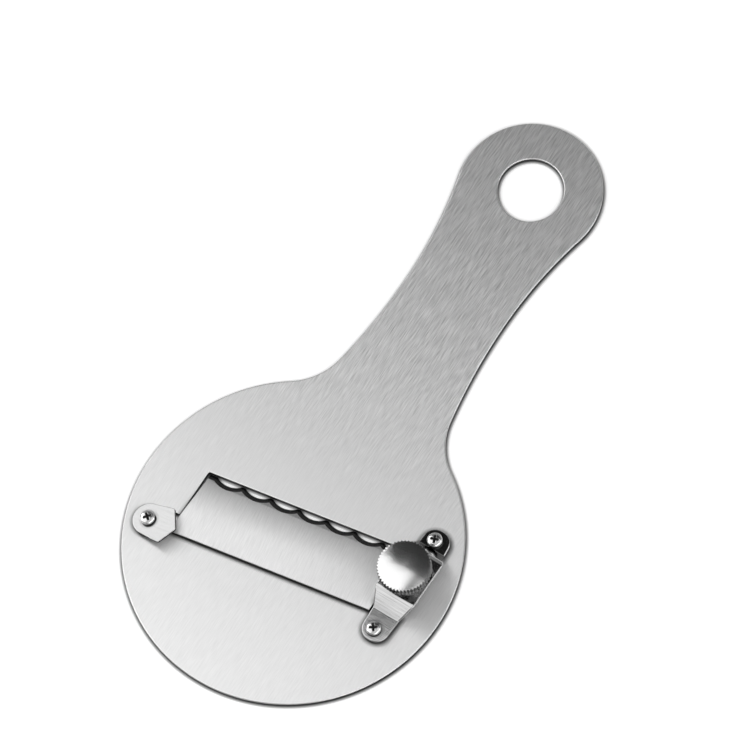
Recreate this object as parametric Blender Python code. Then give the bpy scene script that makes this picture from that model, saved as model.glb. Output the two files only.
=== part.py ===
"""Truffle slicer: a flat steel plate with a ring-ended handle, and a scalloped blade that a thumbscrew
tips through the slot in its head.

Metres. X runs across the head, Y along the handle towards the ring, Z up out of the front face. The
plate lies on its flat working face at Z zero, and the middle of its outline is over the origin.
"""

import math

import bmesh
import bpy
from mathutils import Matrix, Vector

# Plate
OVERALL_LENGTH = 0.1790
HEAD_WIDTH = 0.0902
RING_WIDTH = 0.0388
HOLE_DIAMETER = 0.0176
HOLE_TO_END = 0.0101
WAIST_WIDTH = 0.0296
WAIST_SHARE = 0.58
NECK_WIDTH = 0.0340
NECK_FILLET = 0.0180
PLATE_THICKNESS = 0.0015
PLATE_EDGE = 0.0003

# Slot: its left end from the head's rim, its front and back from the head's middle, square to the blade
BLADE_SKEW = math.radians(8.4)
SLOT_TO_RIM = 0.0155
SLOT_FRONT = 0.0093
SLOT_BACK = 0.0066
SLOT_CORNER = 0.0004
NOTCH_REACH = 0.0018
NOTCH_WIDTH = 0.0021

# Blade
BLADE_THICKNESS = 0.0008
BLADE_HEEL = 0.0035
BLADE_RUNNING_GAP = 0.0003
BLADE_END_RELIEF = 0.0003
EDGE_ABOVE_FACE = 0.0005
EDGE_LAND = 0.00015
GRIND_WIDTH = 0.0014
FIRST_LAND = 0.0017
SCALLOP_PITCH = 0.0080
SCALLOP_DEPTH = 0.0013
SCALLOP_RADIUS = 0.0056
CLIP_TONGUE_REACH = 0.0018
CLIP_TONGUE_WIDTH = 0.0028
STUD_TONGUE_FRONT = 0.0055
STUD_TONGUE_BACK = 0.0058
STUD_TONGUE_END = 0.0042
BLADE_HOLE_PLAY = 0.00045

# Bridge: the middle of its screws from the head's rim and middle, its strip aside of the screws, its crown
# from their middle towards the ring, and each foot's reach from its screw to the leg
BRIDGE_TO_RIM = 0.0132
BRIDGE_ALONG = 0.0046
BRIDGE_TURN = math.radians(-0.9)
BRIDGE_ASIDE = 0.0004
BRIDGE_LENGTH = 0.0352
BRIDGE_HEIGHT = 0.0046
BRIDGE_SHEET = 0.0011
BRIDGE_BEND = 0.0010
LEG_TOP_SPAN = 0.0144
LEG_WIDTH = 0.0082
CROWN_WIDTH = 0.0121
CROWN_LENGTH = 0.0128
CROWN_OFFSET = 0.0021
CROWN_FALL = 0.0003
FOOT_END_RADIUS = 0.0036
BRIDGE_SCREW_SPACING = 0.0288
RING_FOOT_REACH = 0.0026
TIP_FOOT_REACH = 0.0053

# Clip: its screw from the head's rim and middle, and the rest from its screw
CLIP_TO_RIM = 0.0094
CLIP_ALONG = 0.0146
CLIP_TURN = math.radians(6.5)
CLIP_SHEET = 0.0008
CLIP_END_RADIUS = 0.0044
CLIP_END_REACH = 0.0040
CLIP_CORNER_REACH = 0.0058
CLIP_CORNER_WIDTH = 0.0101
CLIP_POINT_REACH = 0.0086
CLIP_POINT_WIDTH = 0.0006

# Screws
SCREW_DIAMETER = 0.0025
SCREW_HEAD_DIAMETER = 0.0041
SCREW_HEAD_SIDE = 0.0005
SCREW_HEAD_CROWN = 0.0007
SCREW_END_BEVEL = 0.0003
RECESS_REACH = 0.0012
RECESS_ARM = 0.0005
RECESS_DEPTH = 0.0008
RECESS_FLOOR_SHARE = 0.45

# Thumbscrew
STUD_OFFSET = 0.0015
STUD_DIAMETER = 0.0040
STUD_PITCH = 0.0007
STUD_TURNS = 1.5
NECK_DIAMETER = 0.0018
PEENED_DIAMETER = 0.0036
PEENED_DEPTH = 0.0004
WASHER_DIAMETER = 0.0040
WASHER_THICKNESS = 0.0004
WASHER_SEAT_GAP = 0.00035
KNOB_DIAMETER = 0.0145
KNOB_HEIGHT = 0.0030
KNOB_DOME = 0.0005
KNOB_TOP_CHAMFER = 0.0002
KNURL_TEETH = 48
KNURL_DEPTH = 0.0004
HUB_DIAMETER = 0.0080
HUB_HEIGHT = 0.0023
STUD_IN_KNOB = 0.0024
BUSH_DIAMETER = 0.0060
BUSH_FLANGE_DIAMETER = 0.0076
BUSH_FLANGE = 0.0005
BUSH_BELOW = 0.0004
TURNED_CHAMFER = 0.00025

# Fits
SEAT_GAP = 0.00025
SIDE_GAP = 0.00025
CUT_OVERRUN = 0.0010

# Fineness of arcs
PLATE_CHORD = 0.0016
ROUND_STEPS = 40
BEND_STEPS = 5
CORNER_STEPS = 4
SCALLOP_STEPS = 10
END_ARC_STEPS = 10
BITE_SHARE = 0.99
END_ARC_SHARE = 0.96
DOME_STEPS = 5


def clear_scene():
    for old in list(bpy.data.objects):
        bpy.data.objects.remove(old, do_unlink=True)


def steel(name, shade, roughness):
    """A bare metal finish of one grey."""
    finish = bpy.data.materials.new(name)
    finish.use_nodes = True
    surface = finish.node_tree.nodes["Principled BSDF"]
    surface.inputs["Base Color"].default_value = (shade, shade, shade, 1.0)
    surface.inputs["Metallic"].default_value = 1.0
    surface.inputs["Roughness"].default_value = roughness
    return finish


def add_object(name, mesh, finish=None, matrix=None):
    made = bpy.data.objects.new(name, mesh)
    bpy.context.scene.collection.objects.link(made)
    if finish:
        mesh.materials.append(finish)
    if matrix:
        made.matrix_world = matrix
    return made


def closed_mesh(name, points, faces):
    """A mesh with its faces turned outwards and its round faces shaded smooth."""
    shape = bmesh.new()
    corners = [shape.verts.new(point) for point in points]
    for face in faces:
        shape.faces.new([corners[index] for index in face])
    bmesh.ops.recalc_face_normals(shape, faces=shape.faces)
    mesh = bpy.data.meshes.new(name)
    shape.to_mesh(mesh)
    shape.free()
    mesh.shade_smooth()
    mesh.set_sharp_from_angle(angle=math.radians(35))
    return mesh


def stacked_mesh(name, levels):
    """A solid through outlines of one point count: a list of (outline, height), bottom to top."""
    count = len(levels[0][0])
    points = [(x, y, height) for outline, height in levels for x, y in outline]
    faces = [list(range(count)), list(range((len(levels) - 1) * count, len(levels) * count))]
    for level in range(len(levels) - 1):
        for i in range(count):
            j = (i + 1) % count
            low, high = level * count, (level + 1) * count
            faces.append([low + i, low + j, high + j, high + i])
    return closed_mesh(name, points, faces)


def turned_mesh(name, profile, steps=ROUND_STEPS):
    """A solid turned about Z from (radius, height) or (radius, height, groove) points. A profile that
    starts and ends on the axis closes there, and any other closes on itself. A groove takes its depth off
    every second step, which makes the teeth of a knurl."""
    solid = profile[0][0] == 0
    points, rings, faces = [], [], []
    for radius, height, *groove in profile:
        if radius == 0:
            rings.append([len(points)])
            points.append((0, 0, height))
            continue
        rings.append(list(range(len(points), len(points) + steps)))
        for step in range(steps):
            turn = math.tau * step / steps
            reach = radius - (groove[0] if groove and step % 2 else 0)
            points.append((reach * math.cos(turn), reach * math.sin(turn), height))
    pairs = list(zip(rings, rings[1:]))
    if not solid:
        pairs.append((rings[-1], rings[0]))
    for low, high in pairs:
        for i in range(steps):
            j = (i + 1) % steps
            corners = [low[i % len(low)], low[j % len(low)], high[j % len(high)], high[i % len(high)]]
            faces.append(list(dict.fromkeys(corners)))
    return closed_mesh(name, points, faces)


def cut(target, name, mesh, matrix=None):
    """Takes a shape out of the target with a Boolean. The cutter stays hidden."""
    cutter = add_object(name, mesh, matrix=matrix)
    cutter.hide_render = True
    cutter.display_type = "WIRE"
    boolean = target.modifiers.new(name, "BOOLEAN")
    boolean.operation = "DIFFERENCE"
    boolean.solver = "EXACT"
    boolean.object = cutter


def arc(centre, radius, start, end, steps):
    """Points on a circle from one angle to another, both ends included."""
    turns = [start + (end - start) * i / steps for i in range(steps + 1)]
    return [(centre[0] + radius * math.cos(t), centre[1] + radius * math.sin(t)) for t in turns]


def rounded(corners, radius):
    """A closed outline through these corners, each one rounded by the same radius."""
    outline = []
    for i, corner in enumerate(corners):
        here = Vector(corner)
        back = (Vector(corners[i - 1]) - here).normalized()
        ahead = (Vector(corners[(i + 1) % len(corners)]) - here).normalized()
        half = back.angle(ahead) / 2
        centre = here + (back + ahead).normalized() * radius / math.sin(half)
        first = here + back * radius / math.tan(half) - centre
        last = here + ahead * radius / math.tan(half) - centre
        start = math.atan2(first.y, first.x)
        sweep = math.remainder(math.atan2(last.y, last.x) - start, math.tau)
        outline += arc(centre, radius, start, start + sweep, CORNER_STEPS)
    return outline


def circle(radius, steps=ROUND_STEPS):
    return arc((0, 0), radius, 0, math.tau * (steps - 1) / steps, steps - 1)


def drill_mesh(name, diameter, low, high):
    return stacked_mesh(name, [(circle(diameter / 2), low), (circle(diameter / 2), high)])


# Places on the plate. The head's middle lies below the origin, because the origin is the outline's middle.
HEAD_Y = HEAD_WIDTH / 2 - OVERALL_LENGTH / 2
RING_Y = OVERALL_LENGTH / 2 - RING_WIDTH / 2
FRONT = PLATE_THICKNESS
SLOT_LEFT = HEAD_WIDTH / 2 - SLOT_TO_RIM
BRIDGE_ACROSS = HEAD_WIDTH / 2 - BRIDGE_TO_RIM
CLIP_ACROSS = HEAD_WIDTH / 2 - CLIP_TO_RIM


def on_head(across, along, height=0.0):
    """A place given from the middle of the head."""
    return Vector((across, HEAD_Y + along, height))


def skewed(along_blade, square):
    """A place given along the blade and square to it, from the middle of the head, as (across, along)."""
    cos, sin = math.cos(BLADE_SKEW), math.sin(BLADE_SKEW)
    return along_blade * cos - square * sin, along_blade * sin + square * cos


def square_at(across, along):
    """How far a place from the middle of the head is square to the blade."""
    return along * math.cos(BLADE_SKEW) - across * math.sin(BLADE_SKEW)


def along_blade_at(across, square):
    """How far along the blade a reach across the head meets a reach square to the blade."""
    return (across + square * math.sin(BLADE_SKEW)) / math.cos(BLADE_SKEW)


def bridge_matrix(height=0.0):
    """The bridge's frame: X across it, Y along it towards the ring, at this height."""
    place = on_head(BRIDGE_ACROSS, BRIDGE_ALONG, height)
    return Matrix.Translation(place) @ Matrix.Rotation(BRIDGE_TURN, 4, "Z")


# The stud's place, and what follows from it for the blade that it tips
STUD_PLACE = bridge_matrix() @ Vector((0, STUD_OFFSET, 0))
STUD_SQUARE = square_at(STUD_PLACE.x, STUD_PLACE.y - HEAD_Y)
STUD_LEVER = STUD_SQUARE + SLOT_BACK
STUD_TRAVEL = STUD_TURNS * STUD_PITCH

# The blade rocks on the front corner of the slot's back wall. It leans so that its edge is level with the
# working face when its underside clears that corner by the running gap.
EDGE_REACH = SLOT_FRONT - BLADE_RUNNING_GAP + SLOT_BACK
EDGE_DROP = FRONT - EDGE_ABOVE_FACE
EDGE_DISTANCE = math.hypot(EDGE_REACH, EDGE_DROP)
BLADE_TILT = math.atan2(EDGE_DROP, EDGE_REACH) + math.asin(BLADE_RUNNING_GAP / EDGE_DISTANCE)
BLADE_TIP_ANGLE = STUD_TRAVEL / STUD_LEVER

# The blade's full width stops short of the bridge's leg, and its slot ends a gap further on
BLADE_LEFT = -SLOT_LEFT + SIDE_GAP
LEG_SWING = math.sin(abs(BRIDGE_TURN)) * BRIDGE_SCREW_SPACING / 2
LEG_NEAR_SIDE = BRIDGE_ACROSS + BRIDGE_ASIDE - LEG_WIDTH / 2 - LEG_SWING
BLADE_RIGHT = LEG_NEAR_SIDE - SIDE_GAP
BLADE_END = BRIDGE_ACROSS + STUD_TONGUE_END

# Heights of what stands on the plate
FOOT_TOP = FRONT + SEAT_GAP + BRIDGE_SHEET
CROWN_TOP = FRONT + BRIDGE_HEIGHT
FLANGE_TOP = CROWN_TOP + SEAT_GAP + BUSH_FLANGE


def blade_height(square, above):
    """The height of a blade face at this reach square to the blade. Above is measured from its underside."""
    reach = square + SLOT_BACK
    lift = (BLADE_RUNNING_GAP + above) / math.cos(BLADE_TILT)
    return FRONT + lift - reach * math.tan(BLADE_TILT)


def blade_slope_reach(square):
    """The reach down the blade's own slope from the rocking line, for an underside point at this place."""
    lean = BLADE_RUNNING_GAP * math.sin(BLADE_TILT)
    return (square + SLOT_BACK - lean) / math.cos(BLADE_TILT)


def heading(start, end):
    """The angle of the line from one point to another."""
    return math.atan2(end[1] - start[1], end[0] - start[0])


def plate_outline(inset):
    """The plate's outline, all arcs, drawn in by the inset. It runs down the right side and up the left."""
    waist, ring, head, neck = WAIST_WIDTH / 2, RING_WIDTH / 2, HEAD_WIDTH / 2, NECK_WIDTH / 2
    ring_middle, head_middle = Vector((0, RING_Y)), Vector((0, HEAD_Y))
    reach = neck + NECK_FILLET
    neck_middle = head_middle + Vector((reach, math.sqrt((head + NECK_FILLET) ** 2 - reach**2)))
    above = WAIST_SHARE * (RING_Y - neck_middle.y)
    below = RING_Y - neck_middle.y - above
    upper = (waist**2 + above**2 - ring**2) / (2 * (ring - waist))
    lower = ((reach - waist) ** 2 + below**2 - NECK_FILLET**2) / (2 * (neck - waist))
    upper_middle = Vector((waist + upper, RING_Y - above))
    lower_middle = Vector((waist + lower, RING_Y - above))
    ring_turn = heading(ring_middle, upper_middle)
    flank_end = heading(lower_middle, neck_middle) + math.tau
    neck_end = heading(neck_middle, head_middle) + math.tau
    head_turn = heading(head_middle, neck_middle)

    def run(middle, outer, radius, start, end):
        steps = math.ceil(outer * abs(end - start) / PLATE_CHORD)
        return arc(middle, radius, start, end, steps)[:-1]

    right = run(upper_middle, upper, upper + inset, math.pi + ring_turn, math.pi)
    right += run(lower_middle, lower, lower + inset, math.pi, flank_end)
    right += run(neck_middle, NECK_FILLET, NECK_FILLET + inset, flank_end, neck_end)
    round_head = run(head_middle, head, head - inset, head_turn, -math.pi - head_turn)
    round_ring = run(ring_middle, ring, ring - inset, math.pi - ring_turn, ring_turn)
    left = [(-x, y) for x, y in reversed(right[1:] + round_head[:1])]
    return right + round_head + left + round_ring


def slot_outline():
    """The slot with its notch under the clip, and its narrower end under the bridge, on the plate."""
    right = BLADE_RIGHT + SIDE_GAP
    end = BLADE_END + SIDE_GAP + BLADE_RUNNING_GAP
    end_front = STUD_TONGUE_FRONT + STUD_SQUARE + SIDE_GAP
    notch_top = -SLOT_BACK + NOTCH_WIDTH
    places = [
        (-SLOT_LEFT, SLOT_FRONT),
        (-SLOT_LEFT, notch_top),
        (-SLOT_LEFT - NOTCH_REACH, notch_top),
        (-SLOT_LEFT - NOTCH_REACH, -SLOT_BACK),
        (end, -SLOT_BACK),
        (end, end_front),
        (right, end_front),
        (right, SLOT_FRONT),
    ]
    corners = [skewed(along_blade_at(across, square), square) for across, square in places]
    return rounded([(x, HEAD_Y + y) for x, y in corners], SLOT_CORNER)


def body_plate(finish):
    levels = [
        (plate_outline(PLATE_EDGE), 0),
        (plate_outline(0), PLATE_EDGE),
        (plate_outline(0), PLATE_THICKNESS - PLATE_EDGE),
        (plate_outline(PLATE_EDGE), PLATE_THICKNESS),
    ]
    plate = add_object("body_plate", stacked_mesh("body_plate", levels), finish)
    low, high = -CUT_OVERRUN, PLATE_THICKNESS + CUT_OVERRUN
    slot = slot_outline()
    cut(plate, "slot_cutter", stacked_mesh("slot_cutter", [(slot, low), (slot, high)]))
    hole_place = Matrix.Translation((0, OVERALL_LENGTH / 2 - HOLE_TO_END - HOLE_DIAMETER / 2, 0))
    cut(plate, "hanging_hole_cutter", drill_mesh("hanging_hole_cutter", HOLE_DIAMETER, low, high), hole_place)
    tapped = SCREW_DIAMETER + 2 * SIDE_GAP
    for place in screw_places():
        hole = drill_mesh("tapped_hole_cutter", tapped, low, high)
        cut(plate, "tapped_hole_cutter", hole, Matrix.Translation(place))
    return plate


def screw_places():
    """The three screws on the plate: the bridge's ring end, its tip end, and the clip's."""
    spread = BRIDGE_SCREW_SPACING / 2
    bridge = bridge_matrix()
    return [bridge @ Vector((0, spread, 0)), bridge @ Vector((0, -spread, 0)), clip_place()]


def blade_outline(grind):
    """The blade's outline in its own slope, along the blade and down it from the rocking line. The scalloped
    edge steps back by the grind."""
    heel = -SLOT_BACK - BLADE_HEEL
    tongue_front = heel + CLIP_TONGUE_WIDTH
    stud_back, stud_front = STUD_SQUARE - STUD_TONGUE_BACK, STUD_SQUARE + STUD_TONGUE_FRONT
    tongue_left = BLADE_LEFT - CLIP_TONGUE_REACH
    places = [
        (tongue_left, heel),
        (BLADE_RIGHT, heel),
        (BLADE_RIGHT, stud_back),
        (BLADE_END, stud_back),
        (BLADE_END, stud_front),
        (BLADE_RIGHT, stud_front),
    ]
    outline = [down_slope(across, square) for across, square in places]
    outline += scalloped_edge(grind)
    return outline + [down_slope(BLADE_LEFT, tongue_front), down_slope(tongue_left, tongue_front)]


def down_slope(across, square):
    """A place from the middle of the head, across it and square to the blade, on the blade's own slope."""
    return along_blade_at(across, square), blade_slope_reach(square)


def scalloped_edge(grind):
    """The cutting edge from right to left: round bites with short lands between, and a longer land last."""
    front = SLOT_FRONT - BLADE_RUNNING_GAP
    right, edge = down_slope(BLADE_RIGHT, front)
    left = along_blade_at(BLADE_LEFT + BLADE_END_RELIEF, front)
    radius = SCALLOP_RADIUS + grind
    middle = edge + SCALLOP_RADIUS - SCALLOP_DEPTH
    half = min(math.acos(1 - SCALLOP_DEPTH / radius), math.asin(SCALLOP_PITCH * BITE_SHARE / 2 / radius))
    first = left + FIRST_LAND + SCALLOP_PITCH / 2
    count = math.ceil((right - first) / SCALLOP_PITCH + 1 / 2)
    points = []
    for bite in reversed(range(count)):
        along = first + SCALLOP_PITCH * bite
        start = min(half, math.asin(min(1, (right - along) / radius)))
        points += arc((along, middle), radius, start - math.pi / 2, -half - math.pi / 2, SCALLOP_STEPS)
    return points + [(left, points[-1][1])]


def slicing_blade(finish):
    """The blade, with its origin on its rocking line."""
    low = BLADE_RUNNING_GAP
    levels = [
        (blade_outline(0), low),
        (blade_outline(0), low + EDGE_LAND),
        (blade_outline(GRIND_WIDTH), low + BLADE_THICKNESS),
    ]
    place = on_head(*skewed(0, -SLOT_BACK), FRONT)
    turn = Matrix.Rotation(BLADE_SKEW, 4, "Z") @ Matrix.Rotation(-BLADE_TILT, 4, "X")
    matrix = Matrix.Translation(place) @ turn
    blade = add_object("slicing_blade", stacked_mesh("slicing_blade", levels), finish, matrix)
    size = NECK_DIAMETER + 2 * BLADE_HOLE_PLAY
    hole = drill_mesh("stud_hole_cutter", size, low - CUT_OVERRUN, low + BLADE_THICKNESS + CUT_OVERRUN)
    middle = BLADE_RUNNING_GAP + BLADE_THICKNESS / 2
    down = (STUD_LEVER - middle * math.sin(BLADE_TILT)) / math.cos(BLADE_TILT)
    along = along_blade_at(STUD_PLACE.x, STUD_SQUARE)
    cut(blade, "stud_hole_cutter", hole, matrix @ Matrix.Translation((along, down, 0)))
    return blade


def bent_path(corners, radius):
    """Points along a line that bends at its inner corners, each with the line's heading there."""
    path = [(*corners[0], heading(corners[0], corners[1]))]
    for before, corner, after in zip(corners, corners[1:], corners[2:]):
        inward, outward = heading(before, corner), heading(corner, after)
        turn = outward - inward
        reach = radius * math.tan(abs(turn) / 2)
        side = math.copysign(radius, turn)
        start = Vector(corner) - Vector((math.cos(inward), math.sin(inward))) * reach
        centre = start + Vector((-math.sin(inward), math.cos(inward))) * side
        for step in range(BEND_STEPS + 1):
            angle = inward + turn * step / BEND_STEPS
            point = centre + Vector((math.sin(angle), -math.cos(angle))) * side
            path.append((point.x, point.y, angle))
    path.append((*corners[-1], heading(corners[-2], corners[-1])))
    return path


def with_places(path, places):
    """The path with a point added at each of these places along it, where it runs straight."""
    full = []
    for start, end in zip(path, path[1:]):
        full.append(start)
        for place in sorted(places):
            if start[0] < place < end[0]:
                share = (place - start[0]) / (end[0] - start[0])
                full.append((place, start[1] + (end[1] - start[1]) * share, heading(start, end)))
    return full + [path[-1]]


def width_at(widths, place):
    """The half width at a place along a strip, read between the neighbours in the list."""
    for (start, first), (end, last) in zip(widths, widths[1:]):
        if start <= place <= end:
            return first + (last - first) * (place - start) / (end - start)
    return widths[-1][1] if place > widths[-1][0] else widths[0][1]


def strip_mesh(name, path, widths, sheet, flat_axis):
    """A bent strip of sheet. The path gives its mid line and the widths its half width along it."""
    points, faces = [], []
    for along, height, angle in path:
        half = width_at(widths, along)
        lean = Vector((-math.sin(angle), math.cos(angle))) * sheet / 2
        for across, side in [(-half, -1), (half, -1), (half, 1), (-half, 1)]:
            level, reach = height + side * lean.y, along + side * lean.x
            points.append((reach, across, level) if flat_axis == "X" else (across, reach, level))
    last = len(points) - 4
    faces = [[0, 1, 2, 3], [last, last + 1, last + 2, last + 3]]
    for start in range(0, last, 4):
        for i in range(4):
            j = (i + 1) % 4
            faces.append([start + i, start + j, start + 4 + j, start + 4 + i])
    return closed_mesh(name, points, faces)


def round_end(reach, radius):
    """Half widths round the end of a strip, from its side to its tip, as (along, half width)."""
    turns = [math.pi / 2 * END_ARC_SHARE * step / END_ARC_STEPS for step in range(END_ARC_STEPS + 1)]
    return [(reach - radius + radius * math.sin(turn), radius * math.cos(turn)) for turn in turns]


def both_ways(pairs):
    """The pairs of (along, value) from the middle of the crown, led by their mirror image."""
    near = [(CROWN_OFFSET - along, value) for along, value in reversed(pairs)]
    return near + [(CROWN_OFFSET + along, value) for along, value in pairs]


def bridge_bracket(finish):
    """The bent bridge: two round-ended feet, two legs, and a wide crown whose ends fall a little."""
    foot = FRONT + SEAT_GAP + BRIDGE_SHEET / 2
    crown = CROWN_TOP - BRIDGE_SHEET / 2
    ends = round_end(BRIDGE_LENGTH / 2, FOOT_END_RADIUS)
    tip = ends[-1][0]
    screw = BRIDGE_SCREW_SPACING / 2
    near, far = TIP_FOOT_REACH - screw, screw - RING_FOOT_REACH
    widths = [(-along, half) for along, half in reversed(ends)]
    widths += [(near, LEG_WIDTH / 2), *both_ways([(CROWN_LENGTH / 2, CROWN_WIDTH / 2)]), (far, LEG_WIDTH / 2)]
    widths += ends
    top = both_ways([(CROWN_LENGTH / 2, crown), (LEG_TOP_SPAN / 2, crown - CROWN_FALL)])
    corners = [(-tip, foot), (near, foot), *top, (far, foot), (tip, foot)]
    path = with_places(bent_path(corners, BRIDGE_BEND), [along for along, _ in widths])
    mesh = strip_mesh("bridge_bracket", path, widths, BRIDGE_SHEET, "Y")
    matrix = bridge_matrix() @ Matrix.Translation((BRIDGE_ASIDE, 0, 0))
    bridge = add_object("bridge_bracket", mesh, finish, matrix)
    low, high = FRONT - CUT_OVERRUN, FOOT_TOP + CUT_OVERRUN
    clear = SCREW_DIAMETER + 2 * SIDE_GAP
    for place in screw_places()[:2]:
        hole = drill_mesh("foot_hole_cutter", clear, low, high)
        cut(bridge, "foot_hole_cutter", hole, Matrix.Translation(place))
    low, high = CROWN_TOP - BRIDGE_SHEET - CUT_OVERRUN, CROWN_TOP + CUT_OVERRUN
    bore = drill_mesh("bush_hole_cutter", BUSH_DIAMETER + 2 * SIDE_GAP, low, high)
    cut(bridge, "bush_hole_cutter", bore, Matrix.Translation(STUD_PLACE))
    return bridge


def clip_place():
    """The clip screw's place on the plate."""
    return on_head(-CLIP_ACROSS, -CLIP_ALONG)


def raised_heel():
    """The height that the top of the blade's heel reaches when the blade is fully tipped."""
    reach = blade_slope_reach(-SLOT_BACK - BLADE_HEEL)
    tipped = BLADE_TILT + BLADE_TIP_ANGLE
    return FRONT - reach * math.sin(tipped) + (BLADE_RUNNING_GAP + BLADE_THICKNESS) * math.cos(tipped)


def clip_slope():
    """The clip's lean: its round end rests on the plate, and its point clears the blade's raised heel."""
    heel_square = -SLOT_BACK - BLADE_HEEL
    heel = Vector(skewed(along_blade_at(BLADE_LEFT, heel_square), heel_square))
    reach = (heel - Vector((-CLIP_ACROSS, -CLIP_ALONG))).length + CLIP_END_REACH
    return math.atan2(raised_heel() - FRONT, reach)


def clip_matrix():
    """The clip's frame: X along it to its point, leaning up, from under its screw."""
    height = FRONT + SEAT_GAP + (CLIP_END_REACH + CLIP_SHEET) * math.sin(clip_slope())
    place = clip_place() + Vector((0, 0, height))
    turn = Matrix.Rotation(CLIP_TURN, 4, "Z") @ Matrix.Rotation(-clip_slope(), 4, "Y")
    return Matrix.Translation(place) @ turn


def blade_clip(finish):
    """The flat clip that bears on the blade's heel corner: round at one end, pointed at the other."""
    ends = round_end(CLIP_END_REACH, CLIP_END_RADIUS)
    widths = [(-along, half) for along, half in reversed(ends)]
    widths += [(CLIP_CORNER_REACH, CLIP_CORNER_WIDTH / 2), (CLIP_POINT_REACH, CLIP_POINT_WIDTH / 2)]
    path = with_places(
        [(widths[0][0], CLIP_SHEET / 2, 0), (widths[-1][0], CLIP_SHEET / 2, 0)],
        [along for along, _ in widths],
    )
    mesh = strip_mesh("blade_clip", path, widths, CLIP_SHEET, "X")
    clip = add_object("blade_clip", mesh, finish, clip_matrix())
    size = SCREW_DIAMETER + 4 * SIDE_GAP
    hole = drill_mesh("clip_hole_cutter", size, FRONT - CUT_OVERRUN, clip_seat() + CUT_OVERRUN)
    cut(clip, "clip_hole_cutter", hole, Matrix.Translation(clip_place()))
    return clip


def clip_seat():
    """The height of the clip screw's seat, on the clip's rising side."""
    lean = clip_slope()
    rise = SCREW_HEAD_DIAMETER / 2 * math.tan(lean)
    return clip_matrix().translation.z + CLIP_SHEET / math.cos(lean) + rise


def screw_mesh(name, shank):
    """A pan-head screw with a cross recess. Its origin is in the middle of the head's underside."""
    head, thread = SCREW_HEAD_DIAMETER / 2, SCREW_DIAMETER / 2
    top = SCREW_HEAD_SIDE + SCREW_HEAD_CROWN
    ball = (head**2 + SCREW_HEAD_CROWN**2) / (2 * SCREW_HEAD_CROWN)
    span = math.asin(head / ball)
    crown = arc((0, top - ball), ball, math.pi / 2 - span, math.pi / 2, DOME_STEPS)[1:-1]
    profile = [(0, -shank), (thread - SCREW_END_BEVEL, -shank), (thread, SCREW_END_BEVEL - shank)]
    profile += [(thread, 0), (head, 0), (head, SCREW_HEAD_SIDE), *crown, (0, top)]
    return turned_mesh(name, profile)


def recess_mesh(name):
    """A cross that narrows downwards, to cut the drive recess of a screw."""
    arm, reach = RECESS_ARM / 2, RECESS_REACH
    quarter = [(reach, -arm), (reach, arm), (arm, arm)]
    cross = []
    for turn in range(4):
        cos, sin = round(math.cos(math.pi / 2 * turn)), round(math.sin(math.pi / 2 * turn))
        cross += [(x * cos - y * sin, x * sin + y * cos) for x, y in quarter]
    top = SCREW_HEAD_SIDE + SCREW_HEAD_CROWN
    floor = [(x * RECESS_FLOOR_SHARE, y * RECESS_FLOOR_SHARE) for x, y in cross]
    return stacked_mesh(name, [(floor, top - RECESS_DEPTH), (cross, top), (cross, top + CUT_OVERRUN)])


def add_screw(name, place, seat, turn, finish):
    """A screw down to just above the working face, its head a gap over the seat and its cross turned."""
    under_head = seat + SEAT_GAP
    matrix = Matrix.Translation((place.x, place.y, under_head)) @ Matrix.Rotation(turn, 4, "Z")
    screw = add_object(name, screw_mesh(name, under_head - SEAT_GAP), finish, matrix)
    cut(screw, name + "_recess_cutter", recess_mesh(name + "_recess_cutter"), matrix)
    return screw


def add_screws(finish):
    ring_end, tip_end, clip = screw_places()
    add_screw("bridge_screw_ring_end", ring_end, FOOT_TOP, math.radians(20), finish)
    add_screw("bridge_screw_tip_end", tip_end, FOOT_TOP, math.radians(35), finish)
    add_screw("clip_screw", clip, clip_seat(), math.radians(50), finish)


def add_turned(name, profile, finish, steps=ROUND_STEPS):
    """A piece turned about the stud's axis."""
    return add_object(name, turned_mesh(name, profile, steps), finish, Matrix.Translation(STUD_PLACE))


def threaded_bush(finish):
    """The bush that is pressed into the crown of the bridge."""
    bore, body, flange = STUD_DIAMETER / 2 + SIDE_GAP, BUSH_DIAMETER / 2, BUSH_FLANGE_DIAMETER / 2
    low, seat = CROWN_TOP - BRIDGE_SHEET - BUSH_BELOW, CROWN_TOP + SEAT_GAP
    profile = [
        (bore, low),
        (body - TURNED_CHAMFER, low),
        (body, low + TURNED_CHAMFER),
        (body, seat),
        (flange, seat),
        (flange, FLANGE_TOP - TURNED_CHAMFER),
        (flange - TURNED_CHAMFER, FLANGE_TOP),
        (bore, FLANGE_TOP),
    ]
    return add_turned("threaded_bush", profile, finish)


def washer_seat():
    """The height of the washer's underside, just clear of the leaning blade at the washer's rim."""
    rim = WASHER_DIAMETER / 2
    return blade_height(STUD_SQUARE - rim, BLADE_THICKNESS) + WASHER_SEAT_GAP


def thrust_washer(finish):
    bore, rim = NECK_DIAMETER / 2 + SIDE_GAP, WASHER_DIAMETER / 2
    low, high = washer_seat(), washer_seat() + WASHER_THICKNESS
    profile = [(bore, low), (rim, low), (rim, high), (bore, high)]
    return add_turned("thrust_washer", profile, finish)


def hub_underside():
    """The hub stops on the bush's flange when the knob has made its turns."""
    return FLANGE_TOP + SEAT_GAP + STUD_TRAVEL


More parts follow.
